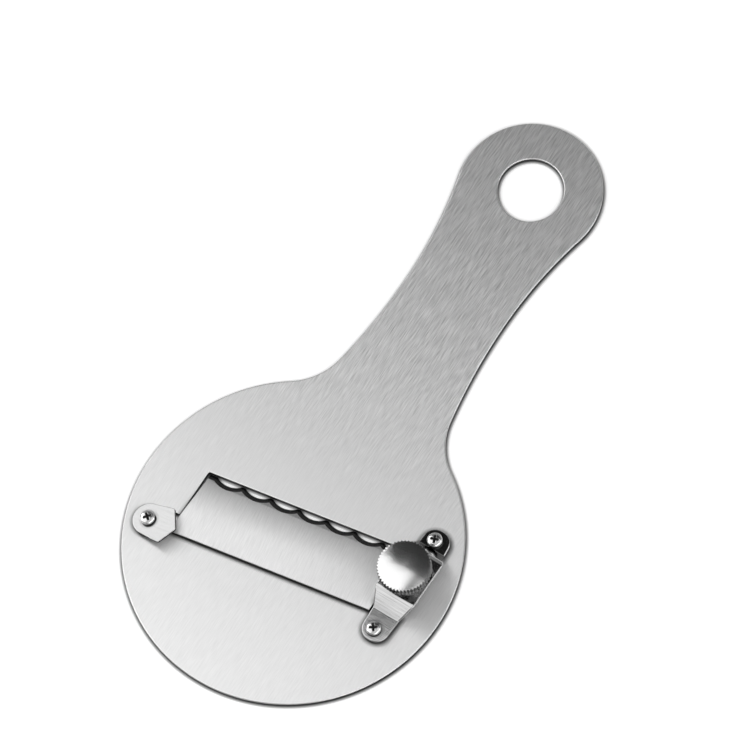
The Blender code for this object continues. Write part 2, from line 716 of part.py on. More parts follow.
def thumb_stud(finish):
    """The stud, with its origin on its axis: a peened end, a neck, a shoulder and the threaded length."""
    peened, neck, thread = PEENED_DIAMETER / 2, NECK_DIAMETER / 2, STUD_DIAMETER / 2
    peened_top = blade_height(STUD_SQUARE + peened, 0) - WASHER_SEAT_GAP
    shoulder = washer_seat() + WASHER_THICKNESS + SEAT_GAP
    top = hub_underside() + HUB_HEIGHT + STUD_IN_KNOB
    profile = [
        (0, peened_top - PEENED_DEPTH),
        (peened, peened_top - PEENED_DEPTH),
        (peened, peened_top),
        (neck, peened_top),
        (neck, shoulder),
        (thread - TURNED_CHAMFER, shoulder),
        (thread, shoulder + TURNED_CHAMFER),
        (thread, top - TURNED_CHAMFER),
        (thread - TURNED_CHAMFER, top),
        (0, top),
    ]
    return add_turned("thumb_stud", profile, finish)


def thumb_knob(finish):
    """The knurled knob and its hub, with its origin on the stud's axis."""
    rim, hub = KNOB_DIAMETER / 2, HUB_DIAMETER / 2
    bore = STUD_DIAMETER / 2 + SIDE_GAP
    low = hub_underside()
    bore_top = low + HUB_HEIGHT + STUD_IN_KNOB + SEAT_GAP
    head_low = low + HUB_HEIGHT
    side_top = head_low + KNOB_HEIGHT - KNOB_TOP_CHAMFER
    face = rim - KNOB_TOP_CHAMFER
    ball = (face**2 + KNOB_DOME**2) / (2 * KNOB_DOME)
    span = math.asin(face / ball)
    top = head_low + KNOB_HEIGHT + KNOB_DOME
    dome = arc((0, top - ball), ball, math.pi / 2 - span, math.pi / 2, DOME_STEPS)[:-1]
    profile = [
        (0, bore_top),
        (bore, bore_top),
        (bore, low),
        (hub - TURNED_CHAMFER, low),
        (hub, low + TURNED_CHAMFER),
        (hub, head_low),
        (rim - KNURL_DEPTH, head_low),
        (rim, head_low + KNURL_DEPTH, KNURL_DEPTH),
        (rim, side_top, KNURL_DEPTH),
        *dome,
        (0, top),
    ]
    return add_turned("thumb_knob", profile, finish, 2 * KNURL_TEETH)


def main():
    clear_scene()
    brushed = steel("brushed_steel", 0.62, 0.38)
    blade_steel = steel("ground_blade_steel", 0.70, 0.25)
    bright = steel("bright_sheet_steel", 0.75, 0.18)
    turned = steel("turned_steel", 0.78, 0.15)
    screws = steel("screw_steel", 0.70, 0.20)
    body_plate(brushed)
    slicing_blade(blade_steel)
    blade_clip(bright)
    bridge_bracket(bright)
    add_screws(screws)
    threaded_bush(turned)
    thrust_washer(turned)
    thumb_stud(turned)
    thumb_knob(turned)


main()
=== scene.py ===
"""Dresses the packed truffle slicer: its plate, blade, clip, bridge, screws and thumbscrew, on a pale floor
in soft studio light.

Everything is in metres, in the model's own frame: X runs across the head, Y along the handle towards the
ring and Z up out of the front face, and the flat working face lies at Z zero.
"""

from __future__ import annotations

import logging
import math
from collections.abc import Callable, Sequence
from dataclasses import dataclass, field
from enum import Enum
from functools import cache, reduce

import bmesh
import bpy
from mathutils import Matrix, Vector


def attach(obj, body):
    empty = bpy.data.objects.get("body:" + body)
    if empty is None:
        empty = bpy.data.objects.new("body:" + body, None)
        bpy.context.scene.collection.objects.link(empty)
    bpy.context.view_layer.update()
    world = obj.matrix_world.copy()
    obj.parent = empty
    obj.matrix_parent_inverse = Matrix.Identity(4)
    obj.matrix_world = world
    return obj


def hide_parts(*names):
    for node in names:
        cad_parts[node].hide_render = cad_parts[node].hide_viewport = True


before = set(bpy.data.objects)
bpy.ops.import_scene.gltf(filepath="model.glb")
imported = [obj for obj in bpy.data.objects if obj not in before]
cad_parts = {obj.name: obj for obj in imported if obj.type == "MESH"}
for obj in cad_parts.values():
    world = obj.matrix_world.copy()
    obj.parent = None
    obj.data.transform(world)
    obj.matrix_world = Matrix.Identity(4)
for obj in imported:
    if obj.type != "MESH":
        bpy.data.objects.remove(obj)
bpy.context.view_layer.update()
LOG = logging.getLogger("truffle_slicer")

Point = tuple[float, float]
Loop = list[Point]
Rings = list[list[Vector]]
Shape = bmesh.types.BMesh
Piece = bpy.types.Object
Material = bpy.types.Material
Socket = bpy.types.NodeSocket
Value = Socket | float
FacePick = Callable[[Vector, Vector], int]
Inputs = dict[str | int, object]

HERE = Matrix.Identity(4)  # the place of a piece that is drawn where it stands
X_AXIS, Y_AXIS = 0, 1
SHORTEST = 1e-6  # a length below this counts as none
HAIR = 1e-9  # far below any step of a bend
LEAST_SPREAD = 0.5  # bounds how far a sharp corner is drawn out
EDGE_MARGIN = 1.25  # the flat margin beside an eased edge, as a share of its radius
NOISE_LOW, NOISE_HIGH = 0.3, 0.7  # where a noise is taken to be at its least and its most
CLOUD_LOW = 0.35  # the least of the steel's patches
FLAT_FROM, WALL_UNTIL = 0.98, 0.3  # how upright the normal of a flat piece's faces and of its walls is


class Body(Enum):
    """The moving bodies of the model."""

    FRAME = "frame"
    BLADE = "blade"
    WASHER = "washer"
    THUMBSCREW = "thumbscrew"


class Slot(Enum):
    """The record's material slots."""

    BRUSHED = "brushed_steel"
    BLADE = "ground_blade_steel"
    SHEET = "bright_sheet_steel"
    TURNED = "turned_steel"
    SCREW = "screw_steel"


# Outlines


def arc(centre: Point, radius: float, start: float, end: float, steps: int) -> Loop:
    """Points on a circle from one angle to another in equal steps, both ends included."""
    turns = [start + (end - start) * i / steps for i in range(steps + 1)]
    return [(centre[0] + radius * math.cos(t), centre[1] + radius * math.sin(t)) for t in turns]


def circle(centre: Point, radius: float, steps: int) -> Loop:
    """A closed round outline, counter-clockwise."""
    return arc(centre, radius, 0, math.tau * (steps - 1) / steps, steps - 1)


def quarter(steps: int) -> list[float]:
    """The angles of a quarter turn in equal steps."""
    return [math.pi / 2 * i / steps for i in range(steps + 1)]


def heading(start: Sequence[float], end: Sequence[float]) -> float:
    """The angle of the line from one point to another."""
    return math.atan2(end[1] - start[1], end[0] - start[0])


def rounded(corners: Sequence[tuple[float, float, float]], steps: int = 8) -> Loop:
    """A closed outline whose corners are each rounded by their own radius.

    Args:
        corners: The corners in counter-clockwise order, each (x, y, radius).
        steps: The chords of each rounding.

    Returns:
        The outline's points.
    """
    outline: Loop = []
    for i, (x, y, radius) in enumerate(corners):
        here = Vector((x, y))
        back = (Vector(corners[i - 1][:2]) - here).normalized()
        ahead = (Vector(corners[(i + 1) % len(corners)][:2]) - here).normalized()
        half = back.angle(ahead) / 2
        centre = here + (back + ahead).normalized() * radius / math.sin(half)
        first = here + back * radius / math.tan(half) - centre
        last = here + ahead * radius / math.tan(half) - centre
        start = math.atan2(first.y, first.x)
        sweep = math.remainder(math.atan2(last.y, last.x) - start, math.tau)
        outline += arc((centre.x, centre.y), radius, start, start + sweep, steps)
    return outline


def grown(loop: Loop, reach: float) -> Loop:
    """An outline moved outwards, square to its sides.

    Args:
        loop: A counter-clockwise outline.
        reach: How far it moves; a negative reach draws it in.

    Returns:
        The moved outline, with as many points.
    """
    moved: Loop = []
    for i, point in enumerate(loop):
        here = Vector(point)
        inward = (here - Vector(loop[i - 1])).normalized()
        outward = (Vector(loop[(i + 1) % len(loop)]) - here).normalized()
        along = inward + outward
        if along.length < SHORTEST:
            along = outward
        along.normalize()
        spread = max(LEAST_SPREAD, along.dot(outward))
        moved.append((here.x + along.y * reach / spread, here.y - along.x * reach / spread))
    return moved


def eased(thickness: float, radius: float, steps: int = 4, low: float = 0.0) -> list[Point]:
    """The rounded edge of a flat piece, with a narrow flat margin beside it.

    Args:
        thickness: The piece's thickness.
        radius: The radius that its edges are eased to.
        steps: The steps of each easing.
        low: The height of its underside.

    Returns:
        (inset, height) pairs from its underside to its top.
    """
    lower = [(radius * EDGE_MARGIN, low)]
    lower += [(radius - radius * math.sin(t), low + radius - radius * math.cos(t)) for t in quarter(steps)]
    return lower + [(inset, 2 * low + thickness - height) for inset, height in reversed(lower)]


def outside(loop: Loop, profile: Sequence[Point], side: int = -1) -> Rings:
    """The rings of a flat piece's outside, one for each (inset, height) pair of its edge."""
    return [[Vector((x, y, z)) for x, y in grown(loop, side * inset)] for inset, z in profile]


def inside(loop: Loop, profile: Sequence[Point]) -> Rings:
    """The rings of a hole, which widens where the outside would draw in."""
    return outside(loop, profile, 1)


# Meshes


def slab(edges: Sequence[Rings], along: int) -> Shape:
    """A flat piece with holes, with its grain laid in metres on its map.

    Args:
        edges: The rings of the outside and then of each hole, from the underside up.
        along: The axis that the grain runs along.

    Returns:
        The closed shape.
    """
    bm = bmesh.new()
    caps: tuple[list[bmesh.types.BMEdge], list[bmesh.types.BMEdge]] = ([], [])
    for rings in edges:
        verts = [[bm.verts.new(point) for point in ring] for ring in rings]
        count = len(verts[0])
        for low, high in zip(verts, verts[1:]):
            for i in range(count):
                j = (i + 1) % count
                bm.faces.new((low[i], low[j], high[j], high[i]))
        for cap, ring in zip(caps, (verts[0], verts[-1])):
            cap += [bm.edges.get((ring[i], ring[(i + 1) % count])) for i in range(count)]
    for cap in caps:
        bmesh.ops.triangle_fill(bm, use_beauty=True, use_dissolve=False, edges=cap)
    bmesh.ops.recalc_face_normals(bm, faces=bm.faces)
    grain = bm.loops.layers.uv.new("grain")
    for face in bm.faces:
        for loop in face.loops:
            loop[grain].uv = (loop.vert.co[1 - along], loop.vert.co[along])
    return bm


def turned(profile: Sequence[Point], steps: int) -> Shape:
    """A piece turned about Z, with its grain laid round it.

    Args:
        profile: (radius, height) points. One that starts and ends on the axis closes there, and any other
            closes on itself.
        steps: The sides of the round.

    Returns:
        The closed shape.
    """
    bm = bmesh.new()
    grain = bm.loops.layers.uv.new("grain")
    points = list(profile)
    if points[0][0] > 0:
        points.append(points[0])
    reach = [0.0]
    for start, end in zip(points, points[1:]):
        reach.append(reach[-1] + math.dist(start, end))
    rings: list[list[bmesh.types.BMVert]] = []
    for radius, height in points:
        turns = [math.tau * i / steps for i in range(1 if radius == 0 else steps)]
        rings.append([bm.verts.new((radius * math.cos(t), radius * math.sin(t), height)) for t in turns])
    if points[0][0] > 0:
        for vert in rings[-1]:
            bm.verts.remove(vert)
        rings[-1] = rings[0]
    girth = max(radius for radius, _ in points)
    for k, (low, high) in enumerate(zip(rings, rings[1:])):
        for i in range(steps):
            j = (i + 1) % steps
            corners = [(low, i, k, i), (low, j, k, i + 1), (high, j, k + 1, i + 1), (high, i, k + 1, i)]
            picked: dict[bmesh.types.BMVert, Point] = {}
            for ring, place, row, turn in corners:
                picked.setdefault(ring[place % len(ring)], (reach[row], girth * math.tau * turn / steps))
            face = bm.faces.new(list(picked))
            for loop in face.loops:
                loop[grain].uv = picked[loop.vert]
    bmesh.ops.recalc_face_normals(bm, faces=bm.faces)
    return bm


def placed(name: str, mesh: bpy.types.Mesh) -> Piece:
    """Links a mesh to the scene as an object at the origin.

    Args:
        name: The object's name.
        mesh: The mesh.

    Returns:
        The object.
    """
    made = bpy.data.objects.new(name, mesh)
    bpy.context.scene.collection.objects.link(made)
    return made


def kept(piece: Piece) -> Piece:
    """Turns a piece's modifiers into plain mesh and removes them.

    Args:
        piece: The piece.

    Returns:
        The same piece.
    """
    graph = bpy.context.evaluated_depsgraph_get()
    mesh = bpy.data.meshes.new_from_object(
        piece.evaluated_get(graph), preserve_all_data_layers=True, depsgraph=graph
    )
    mesh.name = piece.name
    piece.modifiers.clear()
    piece.data = mesh
    return piece


def weighted(piece: Piece, sharp: float = math.radians(40)) -> Piece:
    """Shades a piece smooth but for its sharp edges, with normals weighted by area, and keeps the result.

    Args:
        piece: The piece.
        sharp: The angle from which an edge is sharp.

    Returns:
        The same piece.
    """
    piece.data.shade_smooth()
    piece.data.set_sharp_from_angle(angle=sharp)
    weight = piece.modifiers.new("weight", "WEIGHTED_NORMAL")
    weight.keep_sharp = True
    return kept(piece)


def seated(piece: Piece, matrix: Matrix) -> Piece:
    """Moves a piece's mesh to its place and shades it again."""
    piece.data.transform(matrix)
    return weighted(piece)


# Node trees


class NodeBook:
    """Writes a node tree, node by node."""

    def __init__(self, tree: bpy.types.NodeTree, family: str) -> None:
        """Takes the tree and the word that its own nodes' types start with."""
        self.tree = tree
        self.family = family

    def node(self, kind: str, inputs: Inputs | None = None, **settings: object) -> bpy.types.Node:
        """Adds a node.

        Args:
            kind: The node's type, without the family's word where it has that.
            inputs: For an input, by name or number, its value, the socket linked to it or a list of these.
            settings: The node's own settings.

        Returns:
            The node.
        """
        full = kind if kind.startswith(("ShaderNode", "FunctionNode")) else self.family + kind
        node = self.tree.nodes.new(full)
        for label, value in settings.items():
            setattr(node, label, value)
        for label, given in (inputs or {}).items():
            for value in given if isinstance(given, list) else [given]:
                if isinstance(value, Socket):
                    self.tree.links.new(value, node.inputs[label])
                else:
                    node.inputs[label].default_value = value
        return node

    def first(self, kind: str, inputs: Inputs | None = None, **settings: object) -> Socket:
        """The first output of a new node."""
        return self.node(kind, inputs, **settings).outputs[0]

    def maths(self, operation: str, *values: Value) -> Socket:
        """The result of an operation on two values, or on more of them in turn."""
        return reduce(lambda a, b: self.first("ShaderNodeMath", {0: a, 1: b}, operation=operation), values)

    def ramp(self, value: Socket, low: tuple[float, Value], high: Point) -> Socket:
        """Maps a value from between two marks to between two results, each pair as (mark, result)."""
        marks = {"From Min": low[0], "From Max": high[0], "To Min": low[1], "To Max": high[1]}
        return self.first("ShaderNodeMapRange", {"Value": value} | marks)

    def parts(self, vector: Socket) -> Sequence[Socket]:
        """The three parts of a vector."""
        return self.node("ShaderNodeSeparateXYZ", {0: vector}).outputs

    def length(self, vector: Socket) -> Socket:
        """The length of a vector."""
        return self.node("ShaderNodeVectorMath", {0: vector}, operation="LENGTH").outputs["Value"]


class Recipe(NodeBook):
    """A Geometry Nodes tree with named inputs, run on a mesh and turned into plain mesh."""

    def __init__(self, name: str, inputs: dict[str, Sequence[str]]) -> None:
        """Starts the tree.

        Args:
            name: The tree's name.
            inputs: For each kind of socket the names of the inputs.
        """
        super().__init__(bpy.data.node_groups.new(name, "GeometryNodeTree"), "GeometryNode")
        face = self.tree.interface
        for kind, labels in {"Geometry": ["Geometry"], **inputs}.items():
            for label in labels:
                face.new_socket(label, in_out="INPUT", socket_type="NodeSocket" + kind)
        face.new_socket("Geometry", in_out="OUTPUT", socket_type="NodeSocketGeometry")
        self.given = self.tree.nodes.new("NodeGroupInput").outputs
        self.result = self.tree.nodes.new("NodeGroupOutput")

    def vector(self, x: Value = 0.0, y: Value = 0.0, z: Value = 0.0) -> Socket:
        """A vector from its parts."""
        return self.first("ShaderNodeCombineXYZ", {"X": x, "Y": y, "Z": z})

    def raised(self, shape: Socket, height: Socket) -> Socket:
        """A geometry lifted by a height."""
        return self.first("Transform", {"Geometry": shape, "Translation": self.vector(z=height)})

    def lined(self, shape: Socket, finish: Socket, chosen: Socket | bool = True) -> Socket:
        """A geometry with a finish on its faces, or on the chosen ones."""
        return self.first("SetMaterial", {"Geometry": shape, "Selection": chosen, "Material": finish})

    def faces_in(self, finish: Socket) -> Socket:
        """Which faces have a finish."""
        return self.first("MaterialSelection", {"Material": finish})

    def joined(self, shape: Socket, added: Socket) -> Socket:
        """A geometry with another one added."""
        return self.first("JoinGeometry", {0: [added, shape]})

    def end(self, shape: Socket, finish: Socket, chosen: Socket) -> None:
        """Ends the tree: instances are realised, and the chosen faces get their finish."""
        real = self.first("RealizeInstances", {"Geometry": shape})
        self.tree.links.new(self.lined(real, finish, chosen), self.result.inputs[0])

    def run(self, piece: Piece, values: dict[str, object]) -> None:
        """Runs the tree on a piece and keeps the result as plain mesh.

        Args:
            piece: The piece whose mesh goes in.
            values: The named inputs' values.
        """
        modifier = piece.modifiers.new(self.tree.name, "NODES")
        modifier.node_group = self.tree
        for item in self.tree.interface.items_tree:
            if item.name in values:
                modifier[item.identifier] = values[item.name]
        kept(piece)


@cache
def thread_recipe() -> Recipe:
    """A screw thread: a ridge that follows a helix round a core.

    Returns:
        The recipe, which the screws and the stud share.
    """
    sizes = ["Radius", "Pitch", "Turns", "Depth", "Low"]
    made = Recipe("screw_thread", {"Float": sizes, "Material": ["Finish"]})
    given = made.given
    middle = made.maths("SUBTRACT", given["Radius"], given["Depth"])
    helix = {
        "Resolution": 40,
        "Rotations": given["Turns"],
        "Start Radius": middle,
        "End Radius": middle,
        "Height": made.maths("MULTIPLY", given["Turns"], given["Pitch"]),
    }
    level = made.first("SetCurveNormal", {"Curve": made.first("CurveSpiral", helix)}, mode="Z_UP")
    ridge = made.first("CurvePrimitiveCircle", {"Resolution": 4, "Radius": given["Depth"]})
    swept = made.first("CurveToMesh", {"Curve": level, "Profile Curve": ridge, "Fill Caps": True})
    wound = made.lined(made.raised(swept, given["Low"]), given["Finish"])
    made.end(made.joined(given["Geometry"], wound), given["Finish"], made.faces_in(given["Finish"]))
    return made


def wind_thread(piece: Piece, radius: float, pitch: float, depth: float, ends: Point) -> None:
    """Winds a thread round a piece's core, in the piece's own finish.

    Args:
        piece: The piece.
        radius: The thread's radius over its crests.
        pitch: Its pitch.
        depth: Its depth.
        ends: The heights of its two ends.
    """
    turns = (ends[1] - ends[0]) / pitch
    sizes = {"Radius": radius, "Pitch": pitch, "Turns": turns, "Depth": depth, "Low": ends[0]}
    thread_recipe().run(piece, sizes | {"Finish": piece.data.materials[0]})


def knurl_recipe() -> Recipe:
    """Straight knurling: upright teeth in a ring round a turned piece, whose flanks take a near-black
    painted shade.

    Returns:
        The recipe.
    """
    sizes = ["Radius", "Depth", "Width", "Height", "Low", "Fall"]
    kinds = {"Int": ["Count"], "Float": sizes, "Material": ["Finish", "Tooth Finish"]}
    made = Recipe("straight_knurl", kinds)
    given = made.given
    taper, roof = 0.85, 0.9  # a tooth tapers to this width past this height, and falls past the other height
    upright, skin = 0.5, 1.001  # flanks face up less than this, and lie this far out as a share of the core
    half_height = made.maths("MULTIPLY", given["Height"], 0.5)
    ring = made.first("MeshCircle", {"Vertices": given["Count"], "Radius": given["Radius"]})
    tooth = made.first("MeshCylinder", {"Vertices": 4, "Side Segments": 5, "Radius": 1.0, "Depth": 2.0})
    place = made.first("InputPosition")
    out, aside, up = made.parts(place)
    slim = made.ramp(made.maths("ABSOLUTE", up, 0.0), (taper, 1.0), (1.0, taper))
    fall = made.maths("MULTIPLY", out, given["Fall"], made.maths("GREATER_THAN", up, roof))
    slim_out, slim_aside = made.maths("MULTIPLY", out, slim), made.maths("MULTIPLY", aside, slim)
    shaped = made.vector(slim_out, slim_aside, made.maths("SUBTRACT", up, fall))
    teeth = {
        "Points": ring,
        "Instance": made.first("SetPosition", {"Geometry": tooth, "Position": shaped}),
        "Rotation": made.first("FunctionNodeAlignRotationToVector", {"Vector": place}, axis="X"),
        "Scale": made.vector(given["Depth"], made.maths("MULTIPLY", given["Width"], 0.5), half_height),
    }
    lifted = made.raised(made.first("InstanceOnPoints", teeth), made.maths("ADD", given["Low"], half_height))
    both = made.joined(made.lined(given["Geometry"], given["Finish"]), made.lined(lifted, given["Finish"]))
    slope = made.maths("ABSOLUTE", made.parts(made.first("InputNormal"))[2], 0.0)
    past_core = made.maths("MULTIPLY", given["Radius"], skin)
    beyond = made.maths("GREATER_THAN", made.length(made.vector(out, aside)), past_core)
    flank = made.maths("MULTIPLY", made.maths("LESS_THAN", slope, upright), beyond)
    made.end(both, given["Tooth Finish"], flank)
    return made


def recess_recipe() -> Recipe:
    """A cross recess cut into a screw's head: two tapered wings, square to each other.

    Returns:
        The recipe.
    """
    sizes = ["Reach", "Arm", "Depth", "Top"]
    made = Recipe("cross_recess", {"Float": sizes, "Material": ["Finish", "Recess Finish"]})
    given = made.given
    corner = math.sqrt(2)  # how far out the corners of a square lie whose sides lie one out
    foot_share, over = 0.3, 1.3  # a wing's size at its foot, and its height as a share of the recess's depth
    cone = {"Vertices": 4, "Radius Top": corner, "Radius Bottom": corner * foot_share, "Depth": 1.0}
    wedge = made.first("MeshCone", cone)
    wing = made.first("Transform", {"Geometry": wedge, "Rotation": (0.0, 0.0, math.pi / 4)})
    low = made.vector(z=made.maths("SUBTRACT", given["Top"], given["Depth"]))
    tall = made.maths("MULTIPLY", given["Depth"], over)
    half = made.maths("MULTIPLY", given["Arm"], 0.5)
    wings = []
    for across, along in ((given["Reach"], half), (half, given["Reach"])):
        inputs = {"Geometry": wing, "Translation": low, "Scale": made.vector(across, along, tall)}
        wings.append(made.lined(made.first("Transform", inputs), given["Recess Finish"]))
    skin = made.lined(given["Geometry"], given["Finish"])
    cross = made.first("MeshBoolean", {0: skin, 1: wings}, operation="DIFFERENCE", solver="EXACT")
    made.end(cross, given["Recess Finish"], made.faces_in(given["Recess Finish"]))
    return made


# Finishes


class ShaderBook(NodeBook):
    """Writes a material's node tree."""

    def __init__(self, name: str) -> None:
        """Starts an empty material.

        Args:
            name: The material's name.
        """
        self.material = bpy.data.materials.new(name)
        self.material.use_nodes = True
        self.material.node_tree.nodes.clear()
        super().__init__(self.material.node_tree, "ShaderNode")

    def grey(self, shade: Socket) -> Socket:
        """A colour from its shade."""
        return self.first("CombineColor", {"Red": shade, "Green": shade, "Blue": shade})

    def nook(self, reach: float, power: float, samples: int = 12) -> Socket:
        """Painted shade by ambient occlusion: one in the open, falling towards zero in the corners that
        other surfaces close off.
        """
        shut = self.node("AmbientOcclusion", {"Distance": reach}, samples=samples).outputs["AO"]
        return self.maths("POWER", shut, power)

    def ended(self, surface: Socket) -> Material:
        """Ends the tree with a surface, and gives the material."""
        self.node("OutputMaterial", {"Surface": surface})
        return self.material


@dataclass(frozen=True)
class SteelFinish:
    """A bare steel surface with its grain.

    Attributes:
        slot: The record's material slot.
        name: The material's name.
        shade: The grey of the metal.
        roughness: The surface's roughness.
        shade_spread: How far the grey varies from streak to streak.
        roughness_spread: How far the roughness varies.
        anisotropy: How far the highlight is drawn out across the grain.
        streak_width: The width of a streak of the grain.
        streak_length: Its length.
        groove: The depth that the grain shades as.
        cloud: The size of the larger patches, where handling has dulled the steel.
        cloud_share: How far they change the roughness, as a share of its spread.
        broader: The width of the broad streaks, as a share of the fine ones'.
        longer: Their length in the same way.
        fine_share: The fine streaks' share in the grain.
        nook_reach: How near to other surfaces a painted shade, by ambient occlusion, darkens the steel's
            grey.
        nook_power: How fast that painted shade deepens.
    """

    slot: Slot
    name: str
    shade: float
    roughness: float
    shade_spread: float = 0.03
    roughness_spread: float = 0.05
    anisotropy: float = 0.0
    streak_width: float = 0.00018
    streak_length: float = 0.010
    groove: float = 0.000004
    cloud: float = 0.012
    cloud_share: float = 0.125
    broader: float = 2.2
    longer: float = 1.4
    fine_share: float = 0.6
    nook_reach: float = 0.0012
    nook_power: float = 1.2

    def material(self) -> Material:
        """Builds the material.

        Returns:
            The material, with its grain on the piece's own map.
        """
        book = ShaderBook(self.name)
        grain = book.first("UVMap", uv_map="grain")
        place = book.node("TexCoord").outputs["Object"]
        fine = self.streaks(book, grain, (self.streak_width, self.streak_length))
        size = (self.broader * self.streak_width, self.longer * self.streak_length)
        broad = book.maths("MULTIPLY", self.streaks(book, grain, size), 1 - self.fine_share)
        streak = book.maths("ADD", book.maths("MULTIPLY", fine, self.fine_share), broad)
        spread = book.ramp(streak, (NOISE_LOW, -self.shade_spread), (NOISE_HIGH, self.shade_spread))
        spread = book.maths("MULTIPLY", spread, self.contrast(book, place))
        # The grey is darkened near other surfaces by ambient occlusion: painted shade in corners and under
        # parts.
        nook = book.nook(self.nook_reach, self.nook_power)
        shade = book.maths("MULTIPLY", book.maths("ADD", spread, self.shade), nook)
        dullest = self.roughness + self.roughness_spread
        rough = book.ramp(streak, (NOISE_LOW, dullest), (NOISE_HIGH, self.roughness))
        patches = {"Vector": place, "Scale": 1 / self.cloud, "Detail": 3.0, "Roughness": 0.55}
        change = self.roughness_spread * self.cloud_share
        dull = book.ramp(book.first("TexNoise", patches), (CLOUD_LOW, -change), (NOISE_HIGH, change))
        bump = book.first("Bump", {"Height": streak, "Strength": 1.0, "Distance": self.groove})
        inputs = {
            "Base Color": book.grey(shade),
            "Metallic": 1.0,
            "Roughness": book.maths("ADD", rough, dull),
            "Normal": self.normal(book, grain, bump),
            "Anisotropic": self.anisotropy,
        }
        if self.anisotropy:
            inputs["Tangent"] = book.first("Tangent", direction_type="UV_MAP", uv_map="grain")
        return book.ended(book.first("BsdfPrincipled", inputs))

    def streaks(self, book: ShaderBook, grain: Socket, size: Point) -> Socket:
        """A noise drawn out along the grain.

        Args:
            book: The material's book.
            grain: The grain's map.
            size: The width and length of a streak.

        Returns:
            The noise, from 0 to 1.
        """
        drawn = book.first("Mapping", {"Vector": grain, "Scale": (1 / size[0], 1 / size[1], 1.0)})
        inputs = {"Vector": drawn, "Scale": 1.0, "Detail": 2.0, "Roughness": 0.6}
        return book.first("TexNoise", inputs, noise_dimensions="2D")

    def contrast(self, book: ShaderBook, place: Socket) -> Value:
        """How strongly the grain shows. It is even on a plain finish."""
        return 1.0

    def normal(self, book: ShaderBook, grain: Socket, bump: Socket) -> Socket:
        """The normal that the steel shades by, which on a plain finish is that of its grain."""
        return bump


@dataclass(frozen=True)
class BrushedFinish(SteelFinish):
    """Plate steel whose grain shows more along the handle than on the head.

    Attributes:
        calm: Where the grain starts to strengthen, along the handle.
        strong: Where it is at its full strength.
        calm_share: The share of its strength on the head.
    """

    calm: float = -0.025
    strong: float = 0.02
    calm_share: float = 0.16

    def contrast(self, book: ShaderBook, place: Socket) -> Value:
        """How strongly the grain shows at each place."""
        return book.ramp(book.parts(place)[1], (self.calm, self.calm_share), (self.strong, 1.0))


@dataclass(frozen=True)
class GroundFinish(SteelFinish):
    """Blade steel that is ground to a slight crown down its slope.

    Attributes:
        lean: How far it leans at its crest, in radians.
        crest: Where along the grain that is.
        slope: How much more it leans for each metre before the crest, in radians.
        steeper: How much less it leans for each metre past it.
    """

    lean: float = 0.098
    crest: float = 0.0045
    slope: float = 1.0
    steeper: float = 13.0

    def normal(self, book: ShaderBook, grain: Socket, bump: Socket) -> Socket:
        """The normal of the grain on the crown.

        Args:
            book: The material's book.
            grain: The grain's map.
            bump: The normal of the grain on a flat face.

        Returns:
            The normal.
        """
        past = book.maths("SUBTRACT", book.parts(grain)[1], self.crest)
        before, beyond = book.maths("MINIMUM", past, 0.0), book.maths("MAXIMUM", past, 0.0)
        fall = book.maths("MULTIPLY", before, before, -self.slope / 2)
        drop = book.maths("MULTIPLY", beyond, beyond, -self.steeper / 2)
        height = book.maths("ADD", fall, drop, book.maths("MULTIPLY", past, self.lean))
        return book.first("Bump", {"Height": height, "Strength": 1.0, "Distance": 1.0, "Normal": bump})


@dataclass(frozen=True)
class FloorFinish:
    """The matt pale floor.

    Attributes:
        shade: The floor's grey.
        shade_spread: How far it varies.
        lift: What is added for the camera and for reflections, so that the lit floor is white.
        far_lift: The same far from the object, where the panels light the floor less.
        near: Where the lift starts to rise, from the middle of the floor.
        far: Where it stops.
        nook_reach: How near to the object its contact shadow starts.
        nook_power: How fast it deepens.
    """

    shade: float = 0.85
    shade_spread: float = 0.005
    lift: float = 0.42
    far_lift: float = 0.60
    near: float = 0.08
    far: float = 0.22
    nook_reach: float = 0.0010
    nook_power: float = 3.0

    def material(self) -> Material:
        """Builds the material.

        Returns:
            The material, on which shadows stay.
        """
        book = ShaderBook("pale_floor")
        place = book.node("TexCoord").outputs["Object"]
        cloud = book.first("TexNoise", {"Vector": place, "Scale": 9.0, "Detail": 2.0})
        least, most = self.shade - self.shade_spread, self.shade + self.shade_spread
        # The floor's grey and its glow are darkened by ambient occlusion beside the object: a painted
        # contact shadow.
        nook = book.nook(self.nook_reach, self.nook_power)
        shade = book.maths("MULTIPLY", book.ramp(cloud, (NOISE_LOW, least), (NOISE_HIGH, most)), nook)
        matt = book.first("BsdfDiffuse", {"Color": book.grey(shade)})
        rays = book.node("LightPath").outputs
        kinds = ("Camera", "Glossy", "Transmission")
        seen = book.maths("MAXIMUM", *(rays[f"Is {kind} Ray"] for kind in kinds))
        lift = book.ramp(book.length(place), (self.near, self.lift), (self.far, self.far_lift))
        glow = book.first("Emission", {"Strength": book.maths("MULTIPLY", seen, lift, nook)})
        return book.ended(book.first("AddShader", {0: matt, 1: glow}))


